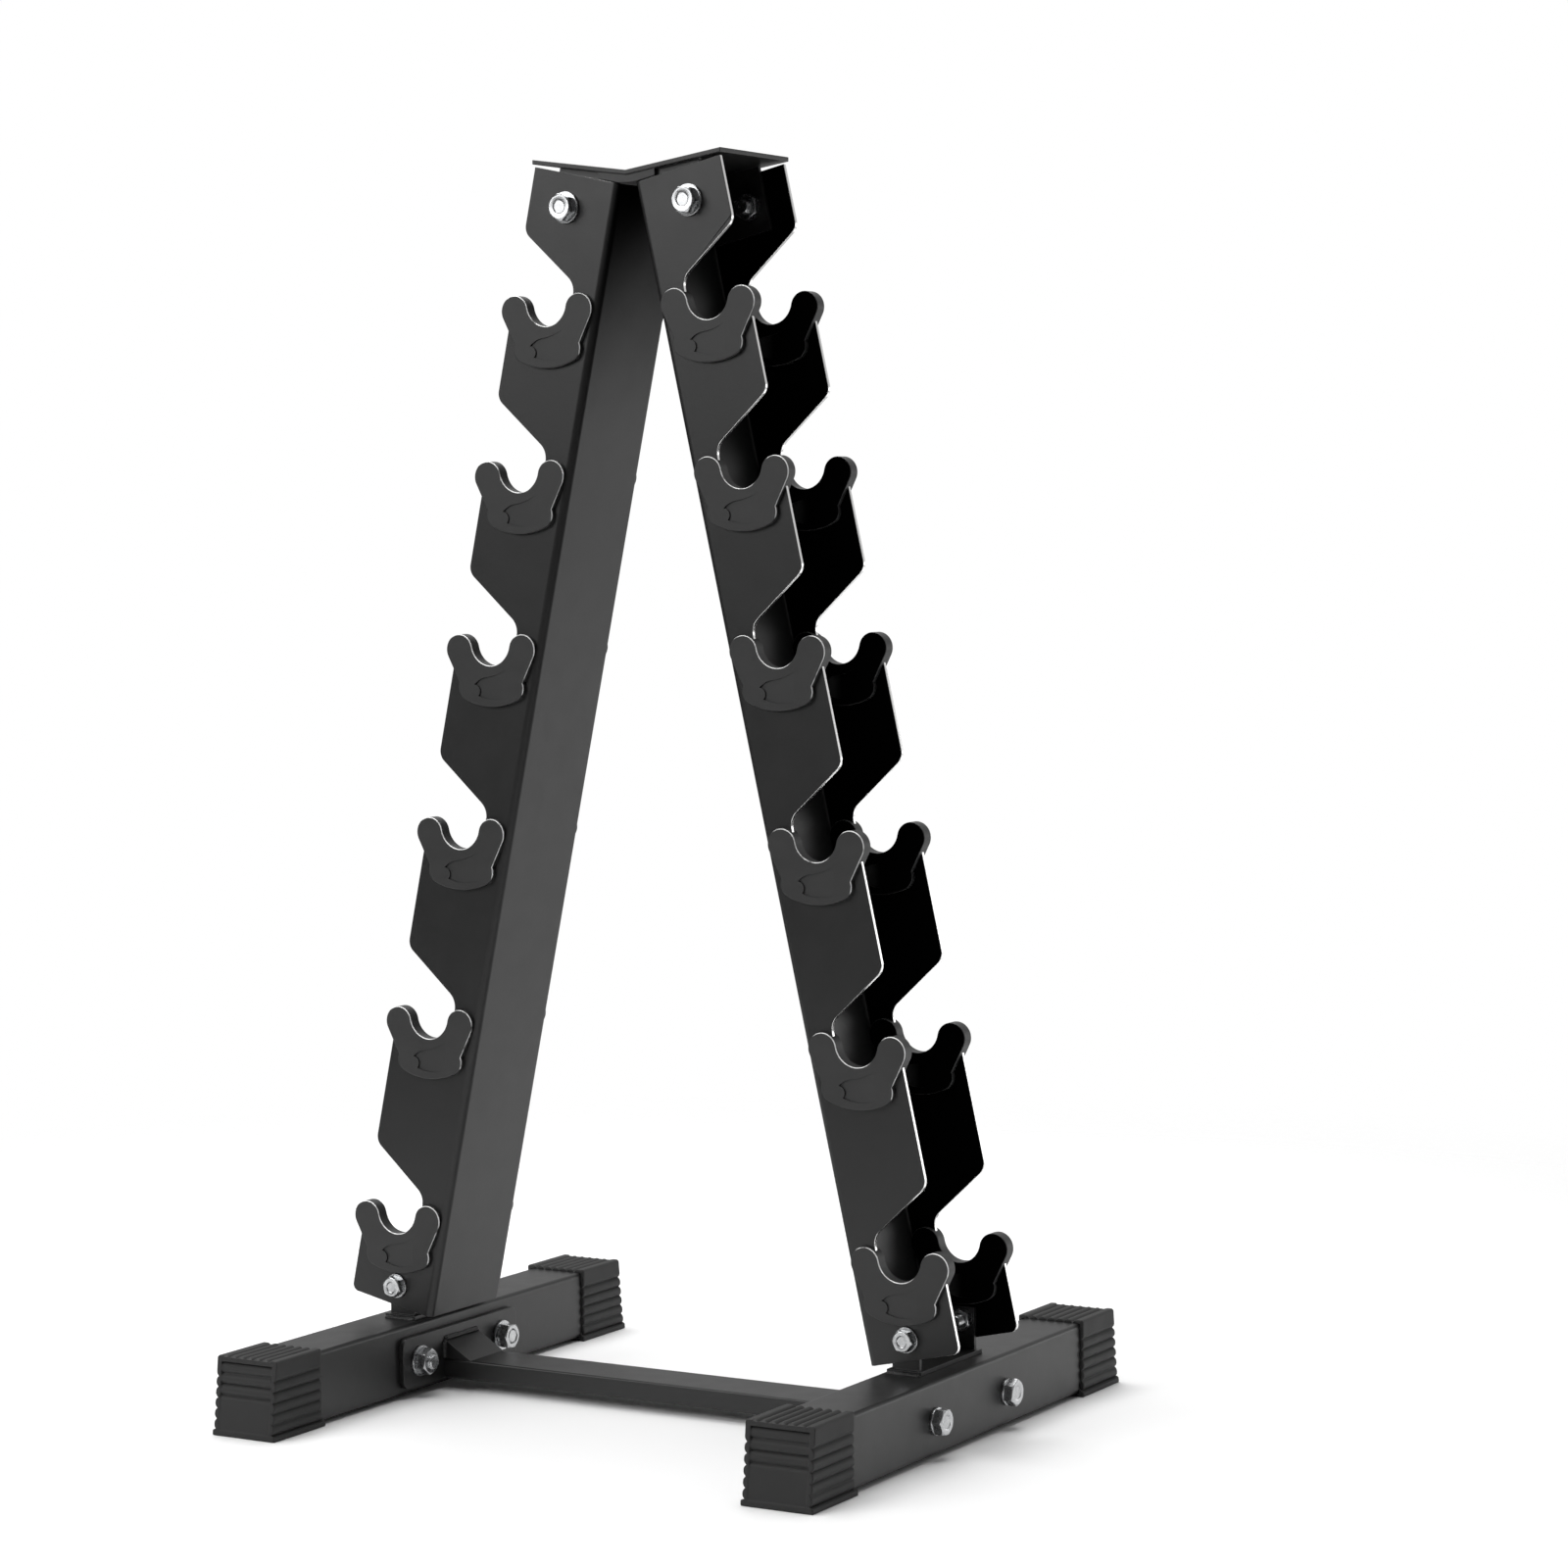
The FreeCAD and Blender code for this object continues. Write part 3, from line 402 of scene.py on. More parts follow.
@dataclass(frozen=True)
class MouldedPlastic:
    """Matte black moulded plastic with a fine spark grain, a painted highlight on its upper and right-hand
    rims and painted shade where little light gets in.

    Pairs are where a change starts and ends.
    """

    name: str = "matte_cradle_plastic"
    slot: Slot = Slot.PLASTIC
    level: float = 0.0245
    roughness: float = 0.50
    flow: float = 38.0
    grain: float = 3400.0
    # Painted highlight on the rims: its level, its gloss and which sides it falls on
    rim_highlight_level: float = 0.95
    rim_gloss: float = 0.28
    rim_skin: tuple[float, float] = (0.0442, 0.0445)
    rim_face: tuple[float, float] = (0.985, 0.93)
    rim_wall: tuple[float, float] = (0.06, 0.20)
    highlight_side: tuple[float, float] = (0.05, 0.30)
    highlight_breakup: float = 120.0
    highlight_breakup_depth: tuple[float, float] = (0.2, 0.5)
    # Painted shade: its dark level, laid inside the channel and on the recess walls
    shade_level: float = 0.0015
    back_skin: tuple[float, float] = (0.0366, 0.0362)
    back_turn: tuple[float, float] = (0.80, 0.97)
    recess_skin: tuple[float, float] = (0.0446, 0.0447)
    recess_turn: tuple[float, float] = (0.12, 0.04)
    recess_up: tuple[float, float] = (0.7, 0.3)

    def painted_rim_highlight(self, shader: Shader) -> Value:
        """Where a highlight is painted on the rim.

        That is the rounded rim of a cradle's face, between the face and the
        wall, above and on the right, the sides that face the lights.

        Args:
            shader: The material's shader.

        Returns:
            The painted highlight, from 0 to 1.
        """
        turned = shader.facing("Y")
        rim = turned.between(*self.rim_face) * turned.between(*self.rim_wall)
        side = shader.toward("X") * 0.75 + shader.toward("Z") * 0.9
        return shader.across().between(*self.rim_skin) * rim * side.between(*self.highlight_side)

    def unlit(self, shader: Shader) -> Value:
        """Where shade is painted, as hardly any light gets in.

        That is the face inside the channel, and the recess's steep walls, apart
        from those that face up.

        Args:
            shader: The material's shader.

        Returns:
            The painted shade, from 0 to 1.
        """
        across, turned = shader.across(), shader.facing("Y")
        back = across.between(*self.back_skin) * turned.between(*self.back_turn)
        walls = across.between(*self.recess_skin) * turned.between(*self.recess_turn)
        return back + walls * shader.toward("Z").between(*self.recess_up)

    def material(self) -> bpy.types.Material:
        """Builds the material.

        Returns:
            The plastic, with its grain, its flow marks, its painted rim highlights and its painted shade.
        """
        shader = Shader(self.name)
        flow = shader.noise(self.flow, 5.0, (1.0, 1.0, 2.2))
        # painted highlight: near-white rims on the upper and right-hand sides, broken up by noise
        painted_rim_highlight = self.painted_rim_highlight(shader) * shader.noise(self.highlight_breakup, 3.0).between(*self.highlight_breakup_depth)
        body = shader.blend(flow, grey(self.level * 0.8), grey(self.level * 1.25))
        # painted shade from unlit(): a plain dark dull surface
        return shader.with_painted_shade(
            self.unlit(shader), self.shade_level,
            Base_Color=shader.blend(painted_rim_highlight, body, grey(self.rim_highlight_level)),
            Roughness=flow * 0.12 + (self.roughness - 0.06) - painted_rim_highlight * self.rim_gloss,
            Normal=shader.bump(shader.noise(self.grain, 2.0), 0.00008, 0.4),
        )


@dataclass(frozen=True)
class RibbedRubber:
    """Soft black rubber, a little dusty on top and shiny where it is rubbed."""

    name: str = "ribbed_cap_rubber"
    slot: Slot = Slot.RUBBER
    level: float = 0.0125
    dust_level: float = 0.026
    roughness: float = 0.66
    clouds: float = 46.0
    grain: float = 1900.0

    def material(self) -> bpy.types.Material:
        """Builds the material.

        Returns:
            The rubber, with its grain and the dust on what faces up.
        """
        shader = Shader(self.name)
        cloud = shader.noise(self.clouds, 5.0)
        up = shader.toward("Z").between(0.2, 1.0)
        dust = up * cloud.between(0.3, 0.75) * 0.6 + cloud * 0.12
        return shader.finish(
            Base_Color=shader.blend(dust, grey(self.level), grey(self.dust_level, 0.02)),
            Roughness=cloud * 0.16 + (self.roughness - 0.08),
            Normal=shader.bump(shader.noise(self.grain, 3.0), 0.0001, 0.45),
        )


@dataclass(frozen=True)
class ZincPlate:
    """Bright zinc plate with fine turning marks and a faint bloom."""

    name: str = "bright_zinc_plate"
    slot: Slot = Slot.ZINC
    level: float = 0.60
    bloom_level: float = 0.42
    roughness: float = 0.24
    clouds: float = 260.0
    marks: float = 4200.0

    def material(self) -> bpy.types.Material:
        """Builds the material.

        Returns:
            The plate, brightest where the bloom is thin.
        """
        shader = Shader(self.name)
        bloom = shader.noise(self.clouds, 5.0)
        scratch = shader.noise(self.marks, 2.0, (1.0, 1.0, 0.08))
        return shader.finish(
            Base_Color=shader.blend(bloom, grey(self.level, -0.01), grey(self.bloom_level, -0.02)),
            Metallic=1.0,
            Roughness=bloom * 0.22 + (self.roughness - 0.08),
            Normal=shader.bump(scratch, 0.00004, 0.3),
        )


@dataclass(frozen=True)
class WeldMetal:
    """A painted weld: the same black, with the ripples' own gloss and spatter."""

    name: str = "painted_weld"
    slot: Slot = Slot.POWDER_COAT
    level: float = 0.016
    spatter_level: float = 0.06
    roughness: float = 0.34
    spatter: float = 900.0

    def material(self) -> bpy.types.Material:
        """Builds the material.

        Returns:
            The painted bead.
        """
        shader = Shader(self.name)
        spatter = shader.noise(self.spatter, 4.0)
        drops = spatter.between(0.45, 0.75)
        return shader.finish(
            Base_Color=shader.blend(drops, grey(self.level), grey(self.spatter_level)),
            Roughness=spatter * 0.3 + (self.roughness - 0.15),
            Normal=shader.bump(spatter, 0.0002, 0.5),
        )


Finish = PowderCoat | MouldedPlastic | RibbedRubber | ZincPlate | WeldMetal


class Wardrobe:
    """Makes each finish once and dresses pieces in it."""

    def __init__(self) -> None:
        """Starts with nothing made."""
        self.made: dict[str, bpy.types.Material] = {}

    def dress(self, piece: bpy.types.Object, finish: Finish) -> None:
        """Gives a piece a finish in place of whatever it has.

        Args:
            piece: The piece.
            finish: The finish.
        """
        if finish.name not in self.made:
            self.made[finish.name] = finish.material()
        if not piece.material_slots:
            piece.data.materials.append(None)
        for slot in piece.material_slots:
            slot.link = "OBJECT"
            slot.material = self.made[finish.name]


# Surfaces


class Shell:
    """Gathers grids of points into one closed mesh."""

    def __init__(self) -> None:
        """Starts with no points."""
        self.points: list[np.ndarray] = []
        self.faces: list[np.ndarray] = []
        self.count = 0

    def grid(self, points: np.ndarray, round_rows: bool, round_columns: bool) -> None:
        """Adds a grid of points, each four neighbours a face.

        Args:
            points: Rows by columns by three.
            round_rows: Whether the last row joins the first.
            round_columns: Whether the last column joins the first.
        """
        rows, columns = points.shape[:2]
        numbers = np.arange(rows * columns).reshape(rows, columns) + self.count
        if round_rows:
            numbers = np.vstack([numbers, numbers[:1]])
        if round_columns:
            numbers = np.hstack([numbers, numbers[:, :1]])
        corners = [numbers[:-1, :-1], numbers[:-1, 1:], numbers[1:, 1:], numbers[1:, :-1]]
        self.faces.append(np.stack([c.ravel() for c in corners], axis=1))
        self.points.append(points.reshape(-1, 3))
        self.count += rows * columns

    def mesh(self, name: str, sharp: float) -> bpy.types.Mesh:
        """Joins the grids into a mesh.

        Args:
            name: The mesh's name.
            sharp: The angle in degrees past which an edge stays crisp.

        Returns:
            The mesh, its seams merged and its faces outwards.
        """
        mesh = bpy.data.meshes.new(name)
        mesh.from_pydata(np.concatenate(self.points), [], np.concatenate(self.faces).tolist())
        work = bmesh.new()
        work.from_mesh(mesh)
        bmesh.ops.remove_doubles(work, verts=work.verts, dist=SAME_POINT)
        bmesh.ops.dissolve_degenerate(work, edges=work.edges, dist=NO_LENGTH)
        bmesh.ops.recalc_face_normals(work, faces=work.faces)
        work.to_mesh(mesh)
        work.free()
        mesh.polygons.foreach_set("use_smooth", np.ones(len(mesh.polygons), bool))
        mesh.set_sharp_from_angle(angle=math.radians(sharp))
        return mesh

    def piece(self, name: str, sharp: float) -> bpy.types.Object:
        """Makes an object at the origin that rides on the rack.

        Args:
            name: The object's name.
            sharp: The angle in degrees past which an edge stays crisp.

        Returns:
            The object.
        """
        piece = bpy.data.objects.new(name, self.mesh(name, sharp))
        bpy.context.scene.collection.objects.link(piece)
        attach(piece, ROOT)
        return piece


def points_of(node: str) -> np.ndarray:
    """Reads the points of a node of the frame.

    Args:
        node: The node's name.

    Returns:
        The points in metres, one to a row.
    """
    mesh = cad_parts[node].data
    flat = np.empty(len(mesh.vertices) * 3, np.float32)
    mesh.vertices.foreach_get("co", flat)
    return flat.reshape(-1, 3).astype(float)


def rise(amount: np.ndarray, low: float, high: float) -> np.ndarray:
    """Smooth step: 3t squared less 2t cubed, with t from 0 at low to 1 at high."""
    t = np.clip((amount - low) / (high - low), 0.0, 1.0)
    return t * t * (3.0 - 2.0 * t)


def wave(phase: np.ndarray) -> np.ndarray:
    """A triangle wave: 1 at each whole number and 0 halfway between two."""
    return np.abs(2.0 * (phase - np.floor(phase)) - 1.0)


def valley(phase: np.ndarray, sharpness: float) -> np.ndarray:
    """A ribbed face's depth: the wave to a power that makes its valleys narrow."""
    return wave(phase) ** sharpness


# The steel and the cradles that the frame gives


@dataclass
class SteelWork:
    """The bent, cut and welded steel, its edges eased as sheet is before coating."""

    finish: PowderCoat = PowderCoat()
    channel_finish: CutSheetCoat = CutSheetCoat()
    channels: tuple[str, ...] = ("left_leg", "right_leg")
    sheet: tuple[str, ...] = (
        "top_bracket", "left_foot_bracket", "right_foot_bracket",
        "left_end_plate", "right_end_plate", "left_gusset", "right_gusset",
    )
    tube: tuple[str, ...] = ("left_base_tube", "right_base_tube", "crossbar")
    easing: float = 0.00045
    steps: int = 3
    level_turn: float = 0.6
    crisp: float = 32.0

    def build(self, wardrobe: Wardrobe) -> None:
        """Eases the sheet's edges and coats every piece of steel.

        Args:
            wardrobe: The finishes.
        """
        for name in self.channels + self.sheet + self.tube:
            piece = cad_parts[name]
            join_triangles(piece)
            if name in self.tube:
                split_creases(piece, self.crisp)
            else:
                self.ease(piece)
            level_shading(piece)
            wardrobe.dress(piece, self.channel_finish if name in self.channels else self.finish)
            LOG.info("coated %s", name)

    def ease(self, piece: bpy.types.Object) -> None:
        """Rounds the crisp edges of a piece.

        Args:
            piece: The piece, its triangles joined.
        """
        flat = piece.modifiers.new("flatten", "DECIMATE")
        flat.decimate_type = "DISSOLVE"
        flat.angle_limit = math.radians(self.level_turn)
        bevel = piece.modifiers.new("ease", "BEVEL")
        bevel.width = self.easing
        bevel.segments = self.steps
        bevel.limit_method = "ANGLE"
        bevel.angle_limit = math.radians(self.crisp)
        bevel.use_clamp_overlap = True


def join_triangles(piece: bpy.types.Object) -> None:
    """Joins a frame node's loose triangles and shades them smoothly."""
    weld = piece.modifiers.new("join", "WELD")
    weld.merge_threshold = SAME_POINT
    piece.data.polygons.foreach_set("use_smooth", np.ones(len(piece.data.polygons), bool))


def split_creases(piece: bpy.types.Object, crisp: float) -> None:
    """Keeps the edges that turn by more than an angle in degrees crisp."""
    split = piece.modifiers.new("crisp", "EDGE_SPLIT")
    split.split_angle = math.radians(crisp)


def level_shading(piece: bpy.types.Object) -> None:
    """Lets the large flat faces set the shading, so that they look flat.

    Args:
        piece: The piece, after its other modifiers.
    """
    level = piece.modifiers.new("level", "WEIGHTED_NORMAL")
    level.mode = "FACE_AREA"
    level.weight = 100


@dataclass
class Cradles:
    """The moulded covers that line the hooks."""

    finish: MouldedPlastic = MouldedPlastic()
    ends: tuple[str, ...] = ("front", "rear")
    sides: tuple[str, ...] = ("left", "right")
    tiers: int = 6
    crisp: float = 30.0

    def build(self, wardrobe: Wardrobe) -> None:
        """Dresses every cover.

        Args:
            wardrobe: The finishes.
        """
        for end in self.ends:
            for side in self.sides:
                for tier in range(1, self.tiers + 1):
                    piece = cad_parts[f"{end}_{side}_cover_{tier}"]
                    join_triangles(piece)
                    split_creases(piece, self.crisp)
                    level_shading(piece)
                    wardrobe.dress(piece, self.finish)
            LOG.info("dressed the %s covers", end)


# Fasteners


@dataclass(frozen=True)
class Stand:
    """Where a fastener stands: the middle of its foot, and which way is out."""

    foot: np.ndarray
    out: np.ndarray

    def place(self, along: np.ndarray, radius: np.ndarray, angle: np.ndarray) -> np.ndarray:
        """Turns a fastener's own measures into points.

        The point is the foot, plus out times the height along the axis, plus
        the radius times the cosine of the angle sideways and its sine upwards.

        Args:
            along: The height of each point over the foot.
            radius: Its distance from the axis.
            angle: Its angle round the axis.

        Returns:
            The points, with three coordinates in a last dimension.
        """
        up = np.array([0.0, 0.0, 1.0])
        side = np.cross(up, self.out)
        flat = np.cos(angle)[..., None] * side + np.sin(angle)[..., None] * up
        return self.foot + along[..., None] * self.out + radius[..., None] * flat


def corner_groups(node: str) -> list[np.ndarray]:
    """Parts a node's points into four groups, one at each corner of the rack.

    Args:
        node: The node's name.

    Returns:
        The groups: front left, rear left, front right and rear right.
    """
    points = points_of(node)
    signs = [(x, y) for x in (-1, 1) for y in (-1, 1)]
    return [points[(points[:, 0] * x > 0) & (points[:, 1] * y > 0)] for x, y in signs]


def stand_of(group: np.ndarray, axis: Axis) -> tuple[Stand, float]:
    """Finds where one fastener stands.

    Args:
        group: Its points in the frame.
        axis: The row axis that it lies along.

    Returns:
        Its stand, with the foot at its inner end, and its length.
    """
    low, high = group.min(axis=0), group.max(axis=0)
    middle = (low + high) / 2.0
    out = np.zeros(3)
    out[axis.value] = math.copysign(1.0, middle[axis.value])
    foot = middle.copy()
    foot[axis.value] = out[axis.value] * min(abs(low[axis.value]), abs(high[axis.value]))
    return Stand(foot, out), float((high - low)[axis.value])


@dataclass(frozen=True)
class Hexagon:
    """A hexagonal block's section, its corners turned off to a cone.

    The shares are of half its width across flats.
    """

    flats: float
    samples: int = 96
    corner_share: float = 1.135
    cone_shares: tuple[float, float] = (0.95, 1.16)
    cone_slope: float = math.tan(math.radians(30.0))

    def angles(self) -> np.ndarray:
        """Angles once round, a sample on each corner."""
        return np.arange(self.samples) * FULL_TURN / self.samples

    def radius(self, circle: np.ndarray, turn: float) -> np.ndarray:
        """The section's radius at each station and angle.

        It is the lesser of two: the circle that the cone leaves, and half the
        width over the cosine of the angle from the middle of the nearest flat.

        Args:
            circle: The cone's radius at each station.
            turn: How far the block is turned.

        Returns:
            Stations by samples.
        """
        sixth = FULL_TURN / 6.0
        off = np.mod(self.angles() + turn, sixth) - sixth / 2.0
        flat = self.flats / 2.0 / np.cos(off)
        flat = np.minimum(flat, self.flats / 2.0 * self.corner_share)
        return np.minimum(flat[None, :], circle[:, None])

    def corner_cone(self, height: float) -> tuple[np.ndarray, np.ndarray]:
        """Heights and radii down the turned corner from a face at a height."""
        circle = np.linspace(*self.cone_shares, 8) * self.flats / 2.0
        return height - (circle - circle[0]) * self.cone_slope, circle


@dataclass(frozen=True)
class ScrewThread:
    """A screw thread cut into a round bar."""

    diameter: float
    pitch: float
    depth_share: float = 0.58
    flat_share: float = 0.12
    steps: int = 8

    def radius(self, along: np.ndarray, angle: np.ndarray, start: float) -> np.ndarray:
        """The bar's radius with the thread cut in it.

        The depth follows a triangle wave of the height over the pitch plus the
        angle over a full turn, with its crests and roots cut flat.

        Args:
            along: The height of each station.
            angle: The angles round the bar.
            start: The height at which the thread runs out.

        Returns:
            Stations by angles.
        """
        cut = wave(along[:, None] / self.pitch + angle[None, :] / FULL_TURN)
        cut = np.clip((cut - self.flat_share) / (1.0 - 2.0 * self.flat_share), 0.0, 1.0)
        depth = self.pitch * self.depth_share * cut
        runout = rise(start - along, 0.0, self.pitch)
        return self.diameter / 2.0 - depth * runout[:, None]


@dataclass
class FastenerSet:
    """Four bolts with their washers and nuts, one at each corner.

    A shape is a list of stations, each a height along the axis and a radius,
    turned about the axis. The shares are of half the width across flats.
    """

    tag: str
    axis: Axis
    thread: ScrewThread
    hexagon: Hexagon
    head: float
    threaded: float
    finish: ZincPlate = ZincPlate()
    dish: float = 0.0005
    dish_share: float = 0.5
    brim_share: float = 0.57
    rim_share: float = 0.62
    face_share: float = 0.93
    foot_share: float = 0.9
    turns: tuple[float, ...] = (0.35, 0.95, 0.1, 0.62)
    easing: float = 0.00025
    lead: float = 0.0005
    nut_play: float = 0.00012
    washer_play: float = 0.0003
    washer_round: float = 0.28
    pair_gap: float = 0.01
    crisp: float = 28.0

    def build(self, wardrobe: Wardrobe) -> None:
        """Makes the bolts, the washers and the nuts.

        Args:
            wardrobe: The finishes.
        """
        for kind, make in (("bolts", self.bolt), ("washers", self.washer), ("nuts", self.nut)):
            node = f"{self.tag}_{kind}"
            shell = Shell()
            for group, turn in zip(self.groups(node), self.turns * 2):
                shell.grid(make(group, turn), kind != "bolts", True)
            piece = shell.piece(f"{node}_finished", self.crisp)
            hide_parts(node)
            wardrobe.dress(piece, self.finish)
            LOG.info("made %s, %d faces", piece.name, len(piece.data.polygons))

    def groups(self, node: str) -> list[np.ndarray]:
        """Parts a node's points into solids, of which washers may be two to a bolt.

        Args:
            node: The node's name.

        Returns:
            One group of points for each solid.
        """
        groups = []
        for group in corner_groups(node):
            away = np.abs(group[:, self.axis.value])
            near = away < (away.min() + away.max()) / 2.0
            pair = node.endswith("washers") and np.ptp(away) > self.pair_gap
            groups.extend([group[near], group[~near]] if pair else [group])
        return groups

    def bolt(self, group: np.ndarray, turn: float) -> np.ndarray:
        """A hexagonal head and a threaded shank, worked out station by station.

        Down from the head's dished face, over its turned corners, under the
        head and along the shank to its chamfered end.

        Args:
            group: The bolt's points in the frame.
            turn: How far its head is turned.

        Returns:
            Stations by samples by three.
        """
        stand, length = stand_of(group, self.axis)
        angle = self.hexagon.angles()
        stations = self.head_stations()
        end = self.head - length
        along = np.linspace(
            end + self.threaded, end, int(self.threaded / self.thread.pitch * self.thread.steps))
        heights = np.concatenate([stations[:, 0], along, [end]])
        radius = np.vstack([
            self.hexagon.radius(stations[:, 1], turn), self.screw(along, angle), np.zeros_like([angle])])
        heights = np.repeat(heights[:, None], len(angle), axis=1)
        head_stand = Stand(stand.foot + stand.out * (length - self.head), stand.out)
        return head_stand.place(heights, radius, np.broadcast_to(angle, radius.shape))

    def head_stations(self) -> np.ndarray:
        """Works out the stations of a bolt's head.

        Returns:
            Heights and radii, from the middle of its face to the shank.
        """
        half, bar = self.hexagon.flats / 2.0, self.thread.diameter / 2.0
        along, cone = self.hexagon.corner_cone(self.head)
        floor, brim = self.head - self.dish, self.head - self.dish * 0.2
        top = [[floor, 0.0], [floor, half * self.dish_share], [brim, half * self.brim_share],
               [self.head, half * self.rim_share], [self.head, half * self.face_share]]
        under = [[self.easing * 2, cone[-1]], [self.easing, cone[-1] * 0.985],
                 [0.0, cone[-1] * 0.95], [0.0, half * self.foot_share], [0.0, bar]]
        return np.vstack([top, np.stack([along, cone], axis=1), under])

    def screw(self, along: np.ndarray, angle: np.ndarray) -> np.ndarray:
        """A bolt's threaded end: the thread's radius, or the chamfer's if that is less.

        Args:
            along: The heights of the stations, from the thread's start to the end.
            angle: The angles round the bar.

        Returns:
            Stations by angles.
        """
        tip = self.thread.diameter / 2.0 - 0.7 * self.thread.pitch
        chamfer = tip + (along - along[-1])[:, None] * 0.9 + 0.0002
        return np.minimum(self.thread.radius(along, angle, along[0]), chamfer)

    def nut(self, group: np.ndarray, turn: float) -> np.ndarray:
        """A hexagonal nut, its corners turned off at both faces.

        It is a closed ring of stations: out over one face, along the flats, in
        over the other face and back through the bore.

        Args:
            group: The nut's points in the frame.
            turn: How far it is turned.

        Returns:
            Stations by samples by three.
        """
        stand, height = stand_of(group, self.axis)
        face, bore = self.hexagon.flats / 2.0 * self.face_share, self.thread.diameter / 2.0 + self.nut_play
        along, cone = self.hexagon.corner_cone(height)
        stations = np.vstack([
            [[self.lead, bore], [0.0, bore + self.lead], [0.0, face]],
            np.stack([height - along, cone], axis=1),
            np.stack([along, cone], axis=1)[::-1],
            [[height, face], [height, bore + self.lead], [height - self.lead, bore]],
        ])
        return self.turned(stand, stations, self.hexagon.radius(stations[:, 1], turn))

    def washer(self, group: np.ndarray, _: float) -> np.ndarray:
        """A punched washer.

        It is a flat ring whose rim is rounded by a quarter circle at the
        punched face, and whose bore is broken at both ends.

        Args:
            group: The washer's points in the frame.

        Returns:
            Stations by samples by three.
        """
        stand, sheet = stand_of(group, self.axis)
        rim, bore = float(np.ptp(group, axis=0).max()) / 2.0, self.thread.diameter / 2.0 + self.washer_play
        bend = np.linspace(QUARTER_TURN, 0.0, 5)[1:]
        fillet = sheet * self.washer_round
        flat = [[self.easing, rim], [0.0, rim - self.easing], [0.0, bore + self.easing],
                [self.easing, bore], [sheet - self.easing, bore],
                [sheet, bore + self.easing], [sheet, rim - fillet]]
        over = [sheet - fillet * (1 - np.sin(bend)), rim - fillet * (1 - np.cos(bend))]
        stations = np.vstack([flat, np.stack(over, axis=1)])
        radius = np.repeat(stations[:, 1][:, None], self.hexagon.samples, axis=1)
        return self.turned(stand, stations, radius)

    def turned(self, stand: Stand, stations: np.ndarray, radius: np.ndarray) -> np.ndarray:
        """Places stations all round the axis.

        Args:
            stand: Where the fastener stands.
            stations: The height and the radius of each station.
            radius: The radius at each station and angle.

        Returns:
            Stations by samples by three.
        """
        angle = np.broadcast_to(self.hexagon.angles(), radius.shape)
        along = np.repeat(stations[:, 0][:, None], radius.shape[1], axis=1)
        return stand.place(along, radius, angle)


# End caps


